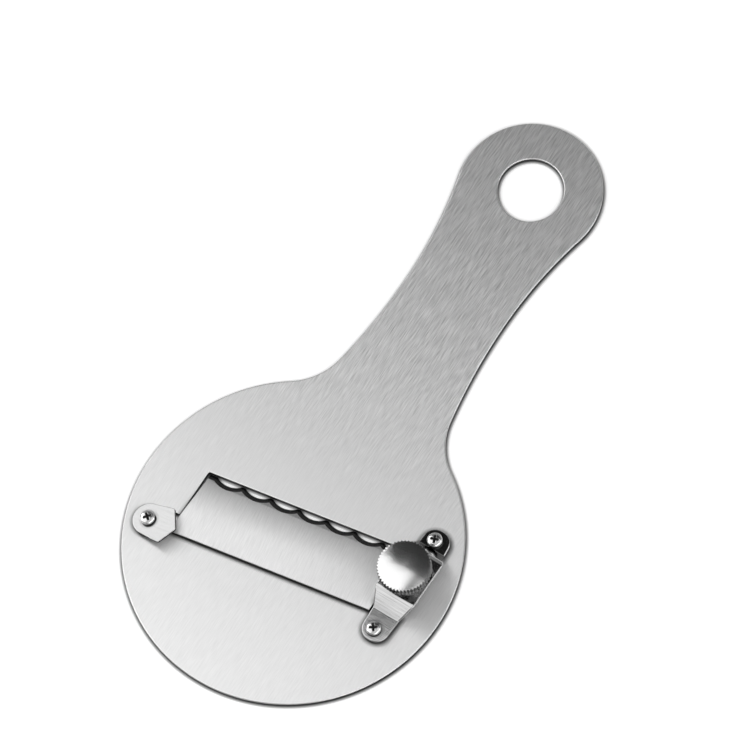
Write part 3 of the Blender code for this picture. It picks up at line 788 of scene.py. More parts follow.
@dataclass
class Finishes:
    """Every finish of the slicer."""

    plate: SteelFinish = BrushedFinish(
        Slot.BRUSHED,
        "brushed_plate_steel",
        shade=0.78,
        roughness=0.40,
        anisotropy=0.9,
        shade_spread=0.28,
        roughness_spread=0.04,
        streak_width=0.00017,
        streak_length=0.0042,
        groove=0.000002,
        nook_reach=0.0014,
        nook_power=2.4,
    )
    plate_edge: SteelFinish = SteelFinish(
        Slot.BRUSHED,
        "polished_edge_steel",
        shade=0.66,
        roughness=0.20,
        shade_spread=0.02,
        streak_length=0.004,
        nook_power=0.3,
    )
    # The walls' near-black grey is painted shade and painted dark reflection, not the steel's own colour.
    cut_wall: SteelFinish = SteelFinish(
        Slot.BRUSHED, "painted_dark_wall_steel", 0.05, 0.45, shade_spread=0.02, streak_length=0.001
    )
    blade: SteelFinish = GroundFinish(
        Slot.BLADE,
        "ground_blade_steel",
        shade=0.74,
        roughness=0.36,
        anisotropy=0.9,
        shade_spread=0.06,
        roughness_spread=0.08,
        streak_width=0.00016,
        streak_length=0.004,
        groove=0.000006,
    )
    # The bevel's near-black grey is a painted dark reflection, not the ground steel's own colour.
    bevel: SteelFinish = SteelFinish(
        Slot.BLADE, "painted_dark_bevel_steel", 0.06, 0.25, streak_width=0.0001, streak_length=0.0012
    )
    sheet: SteelFinish = SteelFinish(
        Slot.SHEET,
        "bright_sheet_steel",
        shade=0.47,
        roughness=0.05,
        shade_spread=0.08,
        roughness_spread=0.02,
        nook_reach=0.004,
        nook_power=1.6,
    )
    clip: SteelFinish = SteelFinish(Slot.SHEET, "clip_sheet_steel", 0.54, 0.11, roughness_spread=0.03)
    turned: SteelFinish = SteelFinish(
        Slot.TURNED,
        "turned_steel",
        shade=0.76,
        roughness=0.15,
        anisotropy=0.5,
        shade_spread=0.015,
        roughness_spread=0.02,
        streak_width=0.00012,
        streak_length=0.02,
        groove=0.0000005,
        nook_reach=0.005,
        nook_power=1.8,
    )
    # The tooth flanks' near-black grey is painted shade between the teeth.
    knurl: SteelFinish = SteelFinish(
        Slot.TURNED, "painted_shade_knurl_steel", 0.20, 0.16, streak_width=0.0001, streak_length=0.001
    )
    screw: SteelFinish = SteelFinish(
        Slot.SCREW, "screw_steel", 0.68, 0.20, streak_width=0.00015, streak_length=0.004
    )
    # The recess's near-black grey is painted shade in the cross recess.
    recess: SteelFinish = SteelFinish(
        Slot.SCREW, "painted_shade_recess_steel", 0.04, 0.35, streak_width=0.00015, streak_length=0.001
    )


# Pieces


@dataclass(frozen=True)
class Layout:
    """The sizes and places that several pieces share. Those across and along start at the head's middle."""

    length: float = 0.1790
    head_width: float = 0.0902
    ring_width: float = 0.0388
    front: float = 0.0015  # the height of the front face
    skew: float = math.radians(8.4)  # the blade's turn across the head
    slot_left: float = 0.0296
    slot_front: float = 0.0093
    slot_back: float = 0.0066
    blade_right: float = 0.0277238
    blade_end: float = 0.0361
    tongue_front: float = 0.0055
    bridge_across: float = 0.0319
    bridge_along: float = 0.0046
    bridge_turn: float = math.radians(-0.9)
    bridge_screws: float = 0.0288
    crown_height: float = 0.0046
    stud_offset: float = 0.0015
    clip_across: float = 0.0357
    clip_along: float = 0.0146
    screw_width: float = 0.0025
    seat: float = 0.00025  # the gap that stands for a contact

    @property
    def head_y(self) -> float:
        """The middle of the head."""
        return self.head_width / 2 - self.length / 2

    @property
    def ring_y(self) -> float:
        """The middle of the ring."""
        return self.length / 2 - self.ring_width / 2

    @property
    def bridge(self) -> Matrix:
        """The bridge's frame: X across it and Y along it, between its screws."""
        middle = (self.bridge_across, self.head_y + self.bridge_along, 0)
        return Matrix.Translation(middle) @ Matrix.Rotation(self.bridge_turn, 4, "Z")

    @property
    def stud(self) -> Vector:
        """The stud's place on the plate."""
        return self.bridge @ Vector((0, self.stud_offset, 0))

    @property
    def stud_square(self) -> float:
        """The stud's reach square to the blade."""
        place = self.stud
        return (place.y - self.head_y) * math.cos(self.skew) - place.x * math.sin(self.skew)

    @property
    def screws(self) -> list[Vector]:
        """The three screws' places.

        Returns:
            Those of the bridge's ring end and of its tip end, and the clip's.
        """
        half = self.bridge_screws / 2
        clip = Vector((-self.clip_across, self.head_y - self.clip_along, 0))
        return [self.bridge @ Vector((0, half, 0)), self.bridge @ Vector((0, -half, 0)), clip]

    def skewed(self, along: float, square: float) -> Point:
        """A place along the blade and square to it, from the middle of the head, as (across, along)."""
        cos, sin = math.cos(self.skew), math.sin(self.skew)
        return along * cos - square * sin, along * sin + square * cos

    def along_at(self, across: float, square: float) -> float:
        """How far along the blade a reach across the head meets a reach square to the blade."""
        return (across + square * math.sin(self.skew)) / math.cos(self.skew)


@dataclass
class Piecework:
    """What every sub-assembly has: the shared places, the finishes and the pieces that it has made."""

    layout: Layout
    finishes: dict[str, Material]
    slots: dict[str, Slot]
    made: list[Piece] = field(default_factory=list)

    def settled(self, node: str, bm: Shape, finish: str, matrix: Matrix = HERE) -> Piece:
        """Makes a shape an object, with even normals on its flats and its eased edges.

        Args:
            node: The solid that it stands for.
            bm: The shape, which is used up.
            finish: The name of its main finish.
            matrix: The piece's place, which goes into its mesh.

        Returns:
            The object at the origin.
        """
        name = node + "_dressed"
        bmesh.ops.triangulate(bm, faces=[face for face in bm.faces if len(face.verts) > 4])
        bm.transform(matrix)
        mesh = bpy.data.meshes.new(name)
        bm.to_mesh(mesh)
        bm.free()
        mesh.materials.append(self.finishes[finish])
        return weighted(placed(name, mesh))

    def keep(self, piece: Piece, body: Body, finish: str, *nodes: str) -> None:
        """Puts a finished piece on its body in place of its solids.

        Args:
            piece: The piece.
            body: The body that it moves with.
            finish: The name of its main finish; it is not used.
            nodes: The solids that it stands for.
        """
        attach(piece, body.value)
        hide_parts(*nodes)
        self.made.append(piece)
        LOG.info("%s: %d faces on %s", piece.name, len(piece.data.polygons), body.value)

    def paint(self, piece: Piece, matrix: Matrix, finishes: Sequence[str], pick: FacePick) -> None:
        """Gives each face of a piece its main finish or one of several others.

        Args:
            piece: The piece.
            matrix: Its place.
            finishes: The names of the other finishes.
            pick: Gives the number of a face's finish, from its normal and its middle in the piece's frame.
        """
        for name in finishes:
            piece.data.materials.append(self.finishes[name])
        inverse = matrix.inverted()
        turn = inverse.to_3x3()
        for face in piece.data.polygons:
            face.material_index = pick(turn @ face.normal, inverse @ face.center)


def flat_edge_or_wall(normal: Vector, _middle: Vector) -> int:
    """Tells a flat piece's faces (0) from its eased edges (1) and the walls between them (2)."""
    return 0 if abs(normal.z) > FLAT_FROM else 1 if abs(normal.z) > WALL_UNTIL else 2


@dataclass
class Plate(Piecework):
    """The plate: a round head and a waisted handle with a ring end."""

    waist_width: float = 0.0296
    waist_share: float = 0.59
    neck_width: float = 0.0340
    neck_fillet: float = 0.0180
    hole_width: float = 0.0176
    hole_to_end: float = 0.0101
    edge: float = 0.0003
    slot_edge: float = 0.00024
    slot_corner: float = 0.0004
    slot_relief: float = 0.0003
    notch_reach: float = 0.0018
    notch_width: float = 0.0021
    chord: float = 0.0006

    def outline(self) -> Loop:
        """The plate's outline, drawn clockwise from the ring down its right flank.

        Returns:
            Its points, turned round to run counter-clockwise.
        """
        lay = self.layout
        widths = (self.waist_width, lay.ring_width, lay.head_width, self.neck_width)
        waist, ring, head, neck = (width / 2 for width in widths)
        ring_middle, head_middle = Vector((0, lay.ring_y)), Vector((0, lay.head_y))
        reach = neck + self.neck_fillet
        neck_rise = math.sqrt((head + self.neck_fillet) ** 2 - reach**2)
        neck_middle = head_middle + Vector((reach, neck_rise))
        above = self.waist_share * (lay.ring_y - neck_middle.y)
        below = lay.ring_y - neck_middle.y - above
        upper = (waist**2 + above**2 - ring**2) / (2 * (ring - waist))
        lower = ((reach - waist) ** 2 + below**2 - self.neck_fillet**2) / (2 * (neck - waist))
        upper_middle = Vector((waist + upper, lay.ring_y - above))
        lower_middle = Vector((waist + lower, lay.ring_y - above))
        ring_turn = heading(ring_middle, upper_middle)
        flank_end = heading(lower_middle, neck_middle) + math.tau
        neck_end = heading(neck_middle, head_middle) + math.tau
        head_turn = heading(head_middle, neck_middle)

        def run(middle: Vector, radius: float, start: float, end: float) -> Loop:
            """An arc without its last point."""
            steps = math.ceil(radius * abs(end - start) / self.chord)
            return arc((middle.x, middle.y), radius, start, end, steps)[:-1]

        right = run(upper_middle, upper, math.pi + ring_turn, math.pi)
        right += run(lower_middle, lower, math.pi, flank_end)
        right += run(neck_middle, self.neck_fillet, flank_end, neck_end)
        round_head = run(head_middle, head, head_turn, -math.pi - head_turn)
        round_ring = run(ring_middle, ring, math.pi - ring_turn, ring_turn)
        left = [(-x, y) for x, y in reversed(right[1:] + round_head[:1])]
        return list(reversed(right + round_head + left + round_ring))

    def slot(self) -> Loop:
        """The skewed slot, with its notch under the clip and its narrower end under the bridge.

        Returns:
            Its outline.
        """
        lay = self.layout
        left, back = -lay.slot_left, -lay.slot_back
        right = lay.blade_right + lay.seat
        end = lay.blade_end + lay.seat + self.slot_relief
        end_front = lay.tongue_front + lay.stud_square + lay.seat
        notch = back + self.notch_width
        places = [
            (left, lay.slot_front),
            (left, notch),
            (left - self.notch_reach, notch),
            (left - self.notch_reach, back),
            (end, back),
            (end, end_front),
            (right, end_front),
            (right, lay.slot_front),
        ]
        corners = [lay.skewed(lay.along_at(across, square), square) for across, square in places]
        return rounded([(x, lay.head_y + y, self.slot_corner) for x, y in corners])

    def build(self) -> None:
        """Makes the plate."""
        lay = self.layout
        edge = eased(lay.front, self.edge)
        cut = eased(lay.front, self.slot_edge)
        hole_y = lay.length / 2 - self.hole_to_end - self.hole_width / 2
        hole = circle((0, hole_y), self.hole_width / 2, steps=96)
        rings = [outside(self.outline(), edge), inside(self.slot(), cut), inside(hole, edge)]
        for place in lay.screws:
            rings.append(inside(circle((place.x, place.y), lay.screw_width / 2 + lay.seat, steps=32), cut))
        piece = self.settled("body_plate", slab(rings, Y_AXIS), "plate")
        # The walls take the near-black painted shade.
        self.paint(piece, HERE, ["plate_edge", "cut_wall"], flat_edge_or_wall)
        self.keep(piece, Body.FRAME, "plate", "body_plate")


@dataclass
class Blade(Piecework):
    """The scalloped blade, which leans through the slot."""

    thickness: float = 0.0008
    heel: float = 0.0035
    gap: float = 0.0003
    edge_above_face: float = 0.0005
    land: float = 0.00015
    grind: float = 0.0014
    grind_share: float = 0.96
    bevel_lean: Point = (0.2, 0.99)  # how upright the bevel's normal is at least and at most
    bevel_behind: float = 1.5  # how far behind the grind it is looked for, in depths of a bite
    end_relief: float = 0.0003
    first_land: float = 0.0017
    pitch: float = 0.0080
    depth: float = 0.0013
    bite: float = 0.0056
    bite_share: float = 0.99
    bite_steps: int = 20
    clip_reach: float = 0.0018
    clip_width: float = 0.0028
    tongue_back: float = 0.0058
    left: float = -0.02935
    hole: float = 0.0027
    ease: float = 0.00012

    @property
    def tilt(self) -> float:
        """The blade's lean, which sets its edge just inside the working face.

        Returns:
            The angle in radians.
        """
        reach = self.layout.slot_front - self.gap + self.layout.slot_back
        drop = self.layout.front - self.edge_above_face
        return math.atan2(drop, reach) + math.asin(self.gap / math.hypot(reach, drop))

    @property
    def matrix(self) -> Matrix:
        """The blade's frame: X along it, Y down its slope, from the back corner of the slot.

        Returns:
            The matrix from it to the model's frame.
        """
        lay = self.layout
        across, along = lay.skewed(0, -lay.slot_back)
        turn = Matrix.Rotation(lay.skew, 4, "Z") @ Matrix.Rotation(-self.tilt, 4, "X")
        return Matrix.Translation((across, lay.head_y + along, lay.front)) @ turn

    def slope_at(self, square: float, level: float | None = None) -> float:
        """The reach down the slope of a place square to the blade, on its underside or at another level."""
        level = self.gap if level is None else level
        return (square + self.layout.slot_back - level * math.sin(self.tilt)) / math.cos(self.tilt)

    def plain_side(self, inset: float) -> Loop:
        """The blade's outline but for its cutting edge, from its left tongue round to its right end.

        Args:
            inset: How far it is drawn in.

        Returns:
            Its points.
        """
        lay = self.layout
        heel, tongue = -lay.slot_back - self.heel, self.left - self.clip_reach
        back, front = lay.stud_square - self.tongue_back, lay.stud_square + lay.tongue_front
        places = [
            (self.left, heel + self.clip_width),
            (tongue, heel + self.clip_width),
            (tongue, heel),
            (lay.blade_right, heel),
            (lay.blade_right, back),
            (lay.blade_end, back),
            (lay.blade_end, front),
            (lay.blade_right, front),
        ]
        closing = [(lay.blade_right, lay.slot_front), (self.left, lay.slot_front)]
        flat = [(lay.along_at(across, square), self.slope_at(square)) for across, square in places + closing]
        return grown(flat, -inset)[: len(places)]

    def cutting_edge(self, grind: float) -> Loop:
        """The cutting edge from right to left: bites with lands between.

        Args:
            grind: How far it is drawn back.

        Returns:
            Its points.
        """
        lay = self.layout
        front = lay.slot_front - self.gap
        right, edge = lay.along_at(lay.blade_right, front), self.slope_at(front)
        left = lay.along_at(self.left + self.end_relief, front)
        radius = self.bite + grind
        middle = edge + self.bite - self.depth
        half = min(math.acos(1 - self.depth / radius), math.asin(self.pitch * self.bite_share / 2 / radius))
        first = left + self.first_land + self.pitch / 2
        points: Loop = []
        for bite in reversed(range(math.ceil((right - first) / self.pitch + 1 / 2))):
            along = first + self.pitch * bite
            start = min(half, math.asin(min(1, (right - along) / radius)))
            points += arc((along, middle), radius, start - math.pi / 2, -half - math.pi / 2, self.bite_steps)
        return points + [(left, points[-1][1])]

    def rings(self) -> Rings:
        """The rings round the blade.

        Returns:
            One for each level from its underside to its top.
        """
        low, high = self.gap, self.gap + self.thickness
        rise = self.land + (self.thickness - self.land) * self.grind_share
        levels = [
            (self.ease, low, 0.0, low),
            (0.0, low + self.ease, 0.0, low + self.land),
            (0.0, high - self.ease, self.grind * self.grind_share, low + rise),
            (self.ease, high, self.grind, high),
        ]
        return [
            [Vector((x, y, level)) for x, y in self.plain_side(inset)]
            + [Vector((x, y, edge_level)) for x, y in self.cutting_edge(grind)]
            for inset, level, grind, edge_level in levels
        ]

    def build(self) -> None:
        """Makes the blade, with a finish of its own on its bevel."""
        lay = self.layout
        down = self.slope_at(lay.stud_square, self.gap + self.thickness / 2)
        hole = circle((lay.along_at(lay.stud.x, lay.stud_square), down), self.hole / 2, steps=40)
        rim = inside(hole, eased(self.thickness, self.ease, steps=2, low=self.gap))
        piece = self.settled("slicing_blade", slab([self.rings(), rim], Y_AXIS), "blade", self.matrix)
        bevel_start = self.slope_at(lay.slot_front - self.gap) - self.grind - self.bevel_behind * self.depth
        least, most = self.bevel_lean

        def bevel_or_wall(normal: Vector, middle: Vector) -> int:
            """Tells the blade's faces (0) from its bevel (1) and its walls (2)."""
            bevel = least < normal.z < most and middle.y > bevel_start
            return 1 if bevel else 2 if abs(normal.z) < WALL_UNTIL else 0

        # The bevel takes a painted dark reflection, and the walls take painted shade.
        self.paint(piece, self.matrix, ["bevel", "cut_wall"], bevel_or_wall)
        self.keep(piece, Body.BLADE, "blade", "slicing_blade")


@dataclass
class BentStrip:
    """A line of bends that flat sheet is laid along.

    Attributes:
        corners: The mid line's inner corners, as (along, height).
        radius: The radius of each bend.
        steps: The steps of each bend.
        margin_share: How far past a bend the sheet is cut once more, as a share of the radius.
    """

    corners: Sequence[Point]
    radius: float
    steps: int = 10
    margin_share: float = 0.05

    def __post_init__(self) -> None:
        """Works out the mid line, with the reach and the heading at each point."""
        corners = self.corners
        path = [(*corners[0], heading(corners[0], corners[1]))]
        for before, corner, after in zip(corners, corners[1:], corners[2:]):
            inward, outward = heading(before, corner), heading(corner, after)
            turn = outward - inward
            side = math.copysign(self.radius, turn)
            reach = self.radius * math.tan(abs(turn) / 2)
            start = Vector(corner) - Vector((math.cos(inward), math.sin(inward))) * reach
            centre = start + Vector((-math.sin(inward), math.cos(inward))) * side
            for step in range(self.steps + 1):
                angle = inward + turn * step / self.steps
                point = centre + Vector((math.sin(angle), -math.cos(angle))) * side
                path.append((point.x, point.y, angle))
        path.append((*corners[-1], heading(corners[-2], corners[-1])))
        self.path = path
        self.reach = [0.0]
        for start, end in zip(path, path[1:]):
            self.reach.append(self.reach[-1] + math.dist(start[:2], end[:2]))

    def reach_at(self, along: float) -> float:
        """Where on the flat sheet a place along the strip is.

        Args:
            along: The place along the strip.

        Returns:
            Its reach from the sheet's end.
        """
        spans = zip(self.path, self.path[1:], self.reach)
        start, end, low = next(span for span in spans if along <= span[1][0] or span[1] is self.path[-1])
        return low + (along - start[0]) / (end[0] - start[0]) * math.dist(start[:2], end[:2])

    def laid(self, place: Vector) -> Vector:
        """Where a point of the flat sheet ends up.

        Args:
            place: The point, as (across, reach, above the sheet's middle).

        Returns:
            Its place on the bent strip.
        """
        last = len(self.reach) - 2
        k = min(last, sum(1 for reach in self.reach[1:] if reach <= place.y + HAIR))
        start, end = self.path[k], self.path[k + 1]
        share = (place.y - self.reach[k]) / (self.reach[k + 1] - self.reach[k])
        angle = start[2] + (end[2] - start[2]) * min(1, max(0, share))
        along = start[0] + (end[0] - start[0]) * share
        height = start[1] + (end[1] - start[1]) * share
        return Vector((place.x, along - math.sin(angle) * place.z, height + math.cos(angle) * place.z))

    def bend(self, bm: Shape) -> None:
        """Cuts the flat sheet across at every step of the bends and lays it along the line.

        Args:
            bm: The sheet.
        """
        margin, each = self.radius * self.margin_share, self.steps + 1
        starts, ends = self.reach[1:-1:each], self.reach[each:-1:each]
        cuts = self.reach[1:-1] + [reach - margin for reach in starts] + [reach + margin for reach in ends]
        for reach in cuts:
            plane = {"plane_co": (0, reach, 0), "plane_no": (0, 1, 0), "dist": SHORTEST}
            bmesh.ops.bisect_plane(bm, geom=bm.verts[:] + bm.edges[:] + bm.faces[:], **plane)
        for vert in bm.verts:
            vert.co = self.laid(vert.co)


@dataclass
class Bridge(Piecework):
    """The bent bridge over the blade's right end, with the threaded bush in its crown."""

    sheet: float = 0.0011
    bend_radius: float = 0.0010
    aside: float = 0.0004
    length: float = 0.0352
    leg_top_span: float = 0.0144
    leg_width: float = 0.0082
    leg_rounding: float = 0.0020
    crown_width: float = 0.0121
    crown_length: float = 0.0128
    crown_offset: float = 0.0021
    crown_fall: float = 0.0003
    crown_rounding: float = 0.0010
    end_radius: float = 0.0036
    ring_foot: float = 0.0026
    tip_foot: float = 0.0053
    edge: float = 0.00032
    bush_width: float = 0.0060
    flange_width: float = 0.0076
    flange: float = 0.0005
    bush_below: float = 0.0004
    bush_bore: float = 0.0045
    chamfer: float = 0.00025

    def strip(self) -> BentStrip:
        """The bends of the bridge.

        Returns:
            Their line from its tip end to its ring end.
        """
        lay = self.layout
        foot = lay.front + lay.seat + self.sheet / 2
        crown = lay.front + lay.crown_height - self.sheet / 2
        screw, end = lay.bridge_screws / 2, self.length / 2
        half, top = self.crown_length / 2, self.leg_top_span / 2
        fall = crown - self.crown_fall
        corners = [
            (-end, foot),
            (self.tip_foot - screw, foot),
            (self.crown_offset - top, fall),
            (self.crown_offset - half, crown),
            (self.crown_offset + half, crown),
            (self.crown_offset + top, fall),
            (screw - self.ring_foot, foot),
            (end, foot),
        ]
        return BentStrip(corners, self.bend_radius)

    def outline(self, strip: BentStrip) -> Loop:
        """The flat sheet's outline.

        Args:
            strip: The bends that it will be laid along.

        Returns:
            Its points, counter-clockwise.
        """
        screw, end = self.layout.bridge_screws / 2, self.length / 2
        leg, crown = self.leg_width / 2, self.crown_width / 2
        places = [
            (self.end_radius, -end, self.end_radius),
            (leg, self.tip_foot - screw, self.leg_rounding),
            (crown, self.crown_offset - self.crown_length / 2, self.crown_rounding),
            (crown, self.crown_offset + self.crown_length / 2, self.crown_rounding),
            (leg, screw - self.ring_foot, self.leg_rounding),
            (self.end_radius, end, self.end_radius),
        ]
        right = [(half, strip.reach_at(along), radius) for half, along, radius in places]
        return rounded(right + [(-half, reach, radius) for half, reach, radius in reversed(right)], steps=14)

    def build(self) -> None:
        """Makes the bridge and its bush."""
        lay = self.layout
        strip = self.strip()
        edge = [(inset, height - self.sheet / 2) for inset, height in eased(self.sheet, self.edge)]
        bolt, bush = lay.screw_width / 2 + lay.seat, self.bush_width / 2 + lay.seat
        screw = lay.bridge_screws / 2
        rings = [outside(self.outline(strip), edge)]
        for along, radius in ((-screw, bolt), (screw, bolt), (lay.stud_offset, bush)):
            rings.append(inside(circle((-self.aside, strip.reach_at(along)), radius, steps=48), edge))
        bm = slab(rings, X_AXIS)
        strip.bend(bm)
        matrix = lay.bridge @ Matrix.Translation((self.aside, 0, 0))
        self.keep(self.settled("bridge_bracket", bm, "sheet", matrix), Body.FRAME, "sheet", "bridge_bracket")
        self.bush()

    def bush(self) -> None:
        """Makes the bush."""
        lay = self.layout
        top = lay.front + lay.crown_height
        low, seat, high = top - self.sheet - self.bush_below, top + lay.seat, top + lay.seat + self.flange
        bore, body, flange = self.bush_bore / 2, self.bush_width / 2, self.flange_width / 2
        cut = self.chamfer
        profile = [
            (bore + cut, low),
            (body - cut, low),
            (body, low + cut),
            (body, seat),
            (flange, seat),
            (flange, high - cut),
            (flange - cut, high),
            (bore + cut, high),
            (bore, high - cut),
            (bore, low + cut),
        ]
        place = Matrix.Translation(lay.stud)
        piece = self.settled("threaded_bush", turned(profile, steps=96), "turned", place)
        self.keep(piece, Body.FRAME, "turned", "threaded_bush")


@dataclass
class Clip(Piecework):
    """The small clip that bears on the blade's heel corner."""

    sheet: float = 0.0008
    turn: float = math.radians(6.5)
    slope: float = math.radians(10.0219)
    end_radius: float = 0.0044
    end_reach: float = 0.0040
    corner_reach: float = 0.0058
    corner_width: float = 0.0101
    point_reach: float = 0.0086
    corner_radius: float = 0.0004
    flank_bulge: float = 0.00015
    edge: float = 0.00014

    @property
    def matrix(self) -> Matrix:
        """The clip's frame: X along it to its point, leaning up, from under its screw.

        Returns:
            The matrix from it to the model's frame.
        """
        lay = self.layout
        height = lay.front + lay.seat + (self.end_reach + self.sheet) * math.sin(self.slope)
        place = lay.screws[2] + Vector((0, 0, height))
        turn = Matrix.Rotation(self.turn, 4, "Z") @ Matrix.Rotation(-self.slope, 4, "Y")
        return Matrix.Translation(place) @ turn

    def outline(self) -> Loop:
        """The clip's outline.

        Returns:
            Its points, counter-clockwise from the lower corner.
        """
        half, round_x = self.corner_width / 2, self.end_radius - self.end_reach
        bulge = (round_x + self.corner_reach) / 2
        swell = (self.end_radius + half) / 2 + self.flank_bulge
        corners = [
            (bulge, -swell, self.edge),
            (self.corner_reach, -half, self.corner_radius),
            (self.point_reach, 0.0, self.corner_radius),
            (self.corner_reach, half, self.corner_radius),
            (bulge, swell, self.edge),
        ]
        slant = heading((round_x, 0), (bulge, swell))
        touch = slant + math.acos(self.end_radius / math.hypot(bulge - round_x, swell))
        end = arc((round_x, 0), self.end_radius, touch, math.tau - touch, steps=40)
        return rounded(corners, steps=5) + end

    def build(self) -> None:
        """Makes the clip, with the hole for its screw upright through its lean."""
        lay = self.layout
        edge = eased(self.sheet, self.edge)
        hole = circle((0.0, 0.0), lay.screw_width / 2 + 2 * lay.seat, steps=40)
        bm = slab([outside(self.outline(), edge), inside(hole, edge)], X_AXIS)
        piece = self.settled("blade_clip", bm, "clip", self.matrix)
        # The walls take the near-black painted shade.
        self.paint(piece, self.matrix, ["clip", "cut_wall"], flat_edge_or_wall)
        self.keep(piece, Body.FRAME, "clip", "blade_clip")


@dataclass
class Screws(Piecework):
    """The three pan-head screws with a cross recess."""

    head: float = 0.0041
    side: float = 0.0004
    crown: float = 0.0008
    crown_power: float = 0.8
    chamfer: float = 0.00015
    bevel: float = 0.0003
    thread_depth: float = 0.00022
    thread_pitch: float = 0.00045
    thread_margin: float = 0.0003
    reach: float = 0.0015
    arm: float = 0.00086
    recess: float = 0.0009
    foot_top: float = 0.00285
    clip_seat: float = 0.00376

    def profile(self, shank: float) -> list[Point]:
        """The turned outline of a screw whose head stands on height zero.

        Args:
            shank: The length of its shank.

        Returns:
            (radius, height) points from its end to its top.
        """
        head, side, crown, cut = self.head / 2, self.side, self.crown, self.chamfer
        core = self.layout.screw_width / 2 - self.thread_depth
        dome = [(head * math.cos(t) ** self.crown_power, side + crown * math.sin(t)) for t in quarter(14)]
        points = [(0, -shank), (core - self.bevel, -shank), (core, self.bevel - shank)]
        return points + [(core, 0), (head - cut, 0), (head, cut), *dome[:-1], (0, side + crown)]

    def build(self) -> None:
        """Makes the three screws, each turned its own way."""
        lay = self.layout
        recess = recess_recipe()
        cut = {"Reach": self.reach, "Arm": self.arm, "Depth": self.recess, "Top": self.side + self.crown}
        # The recess's faces take the painted shade.
        cut |= {"Finish": self.finishes["screw"], "Recess Finish": self.finishes["recess"]}
        screws = [
            ("bridge_screw_ring_end", self.foot_top, 20),
            ("bridge_screw_tip_end", self.foot_top, 35),
            ("clip_screw", self.clip_seat, 50),
        ]
        for (name, shank, degrees), place in zip(screws, lay.screws):
            piece = self.settled(name, turned(self.profile(shank), steps=64), "screw")
            recess.run(piece, cut)
            ends = (self.thread_margin - shank, -self.thread_margin)
            wind_thread(piece, lay.screw_width / 2, self.thread_pitch, self.thread_depth, ends)
            height = Matrix.Translation((place.x, place.y, shank + lay.seat))
            seated(piece, height @ Matrix.Rotation(math.radians(degrees), 4, "Z"))
            self.keep(piece, Body.FRAME, "screw", name)


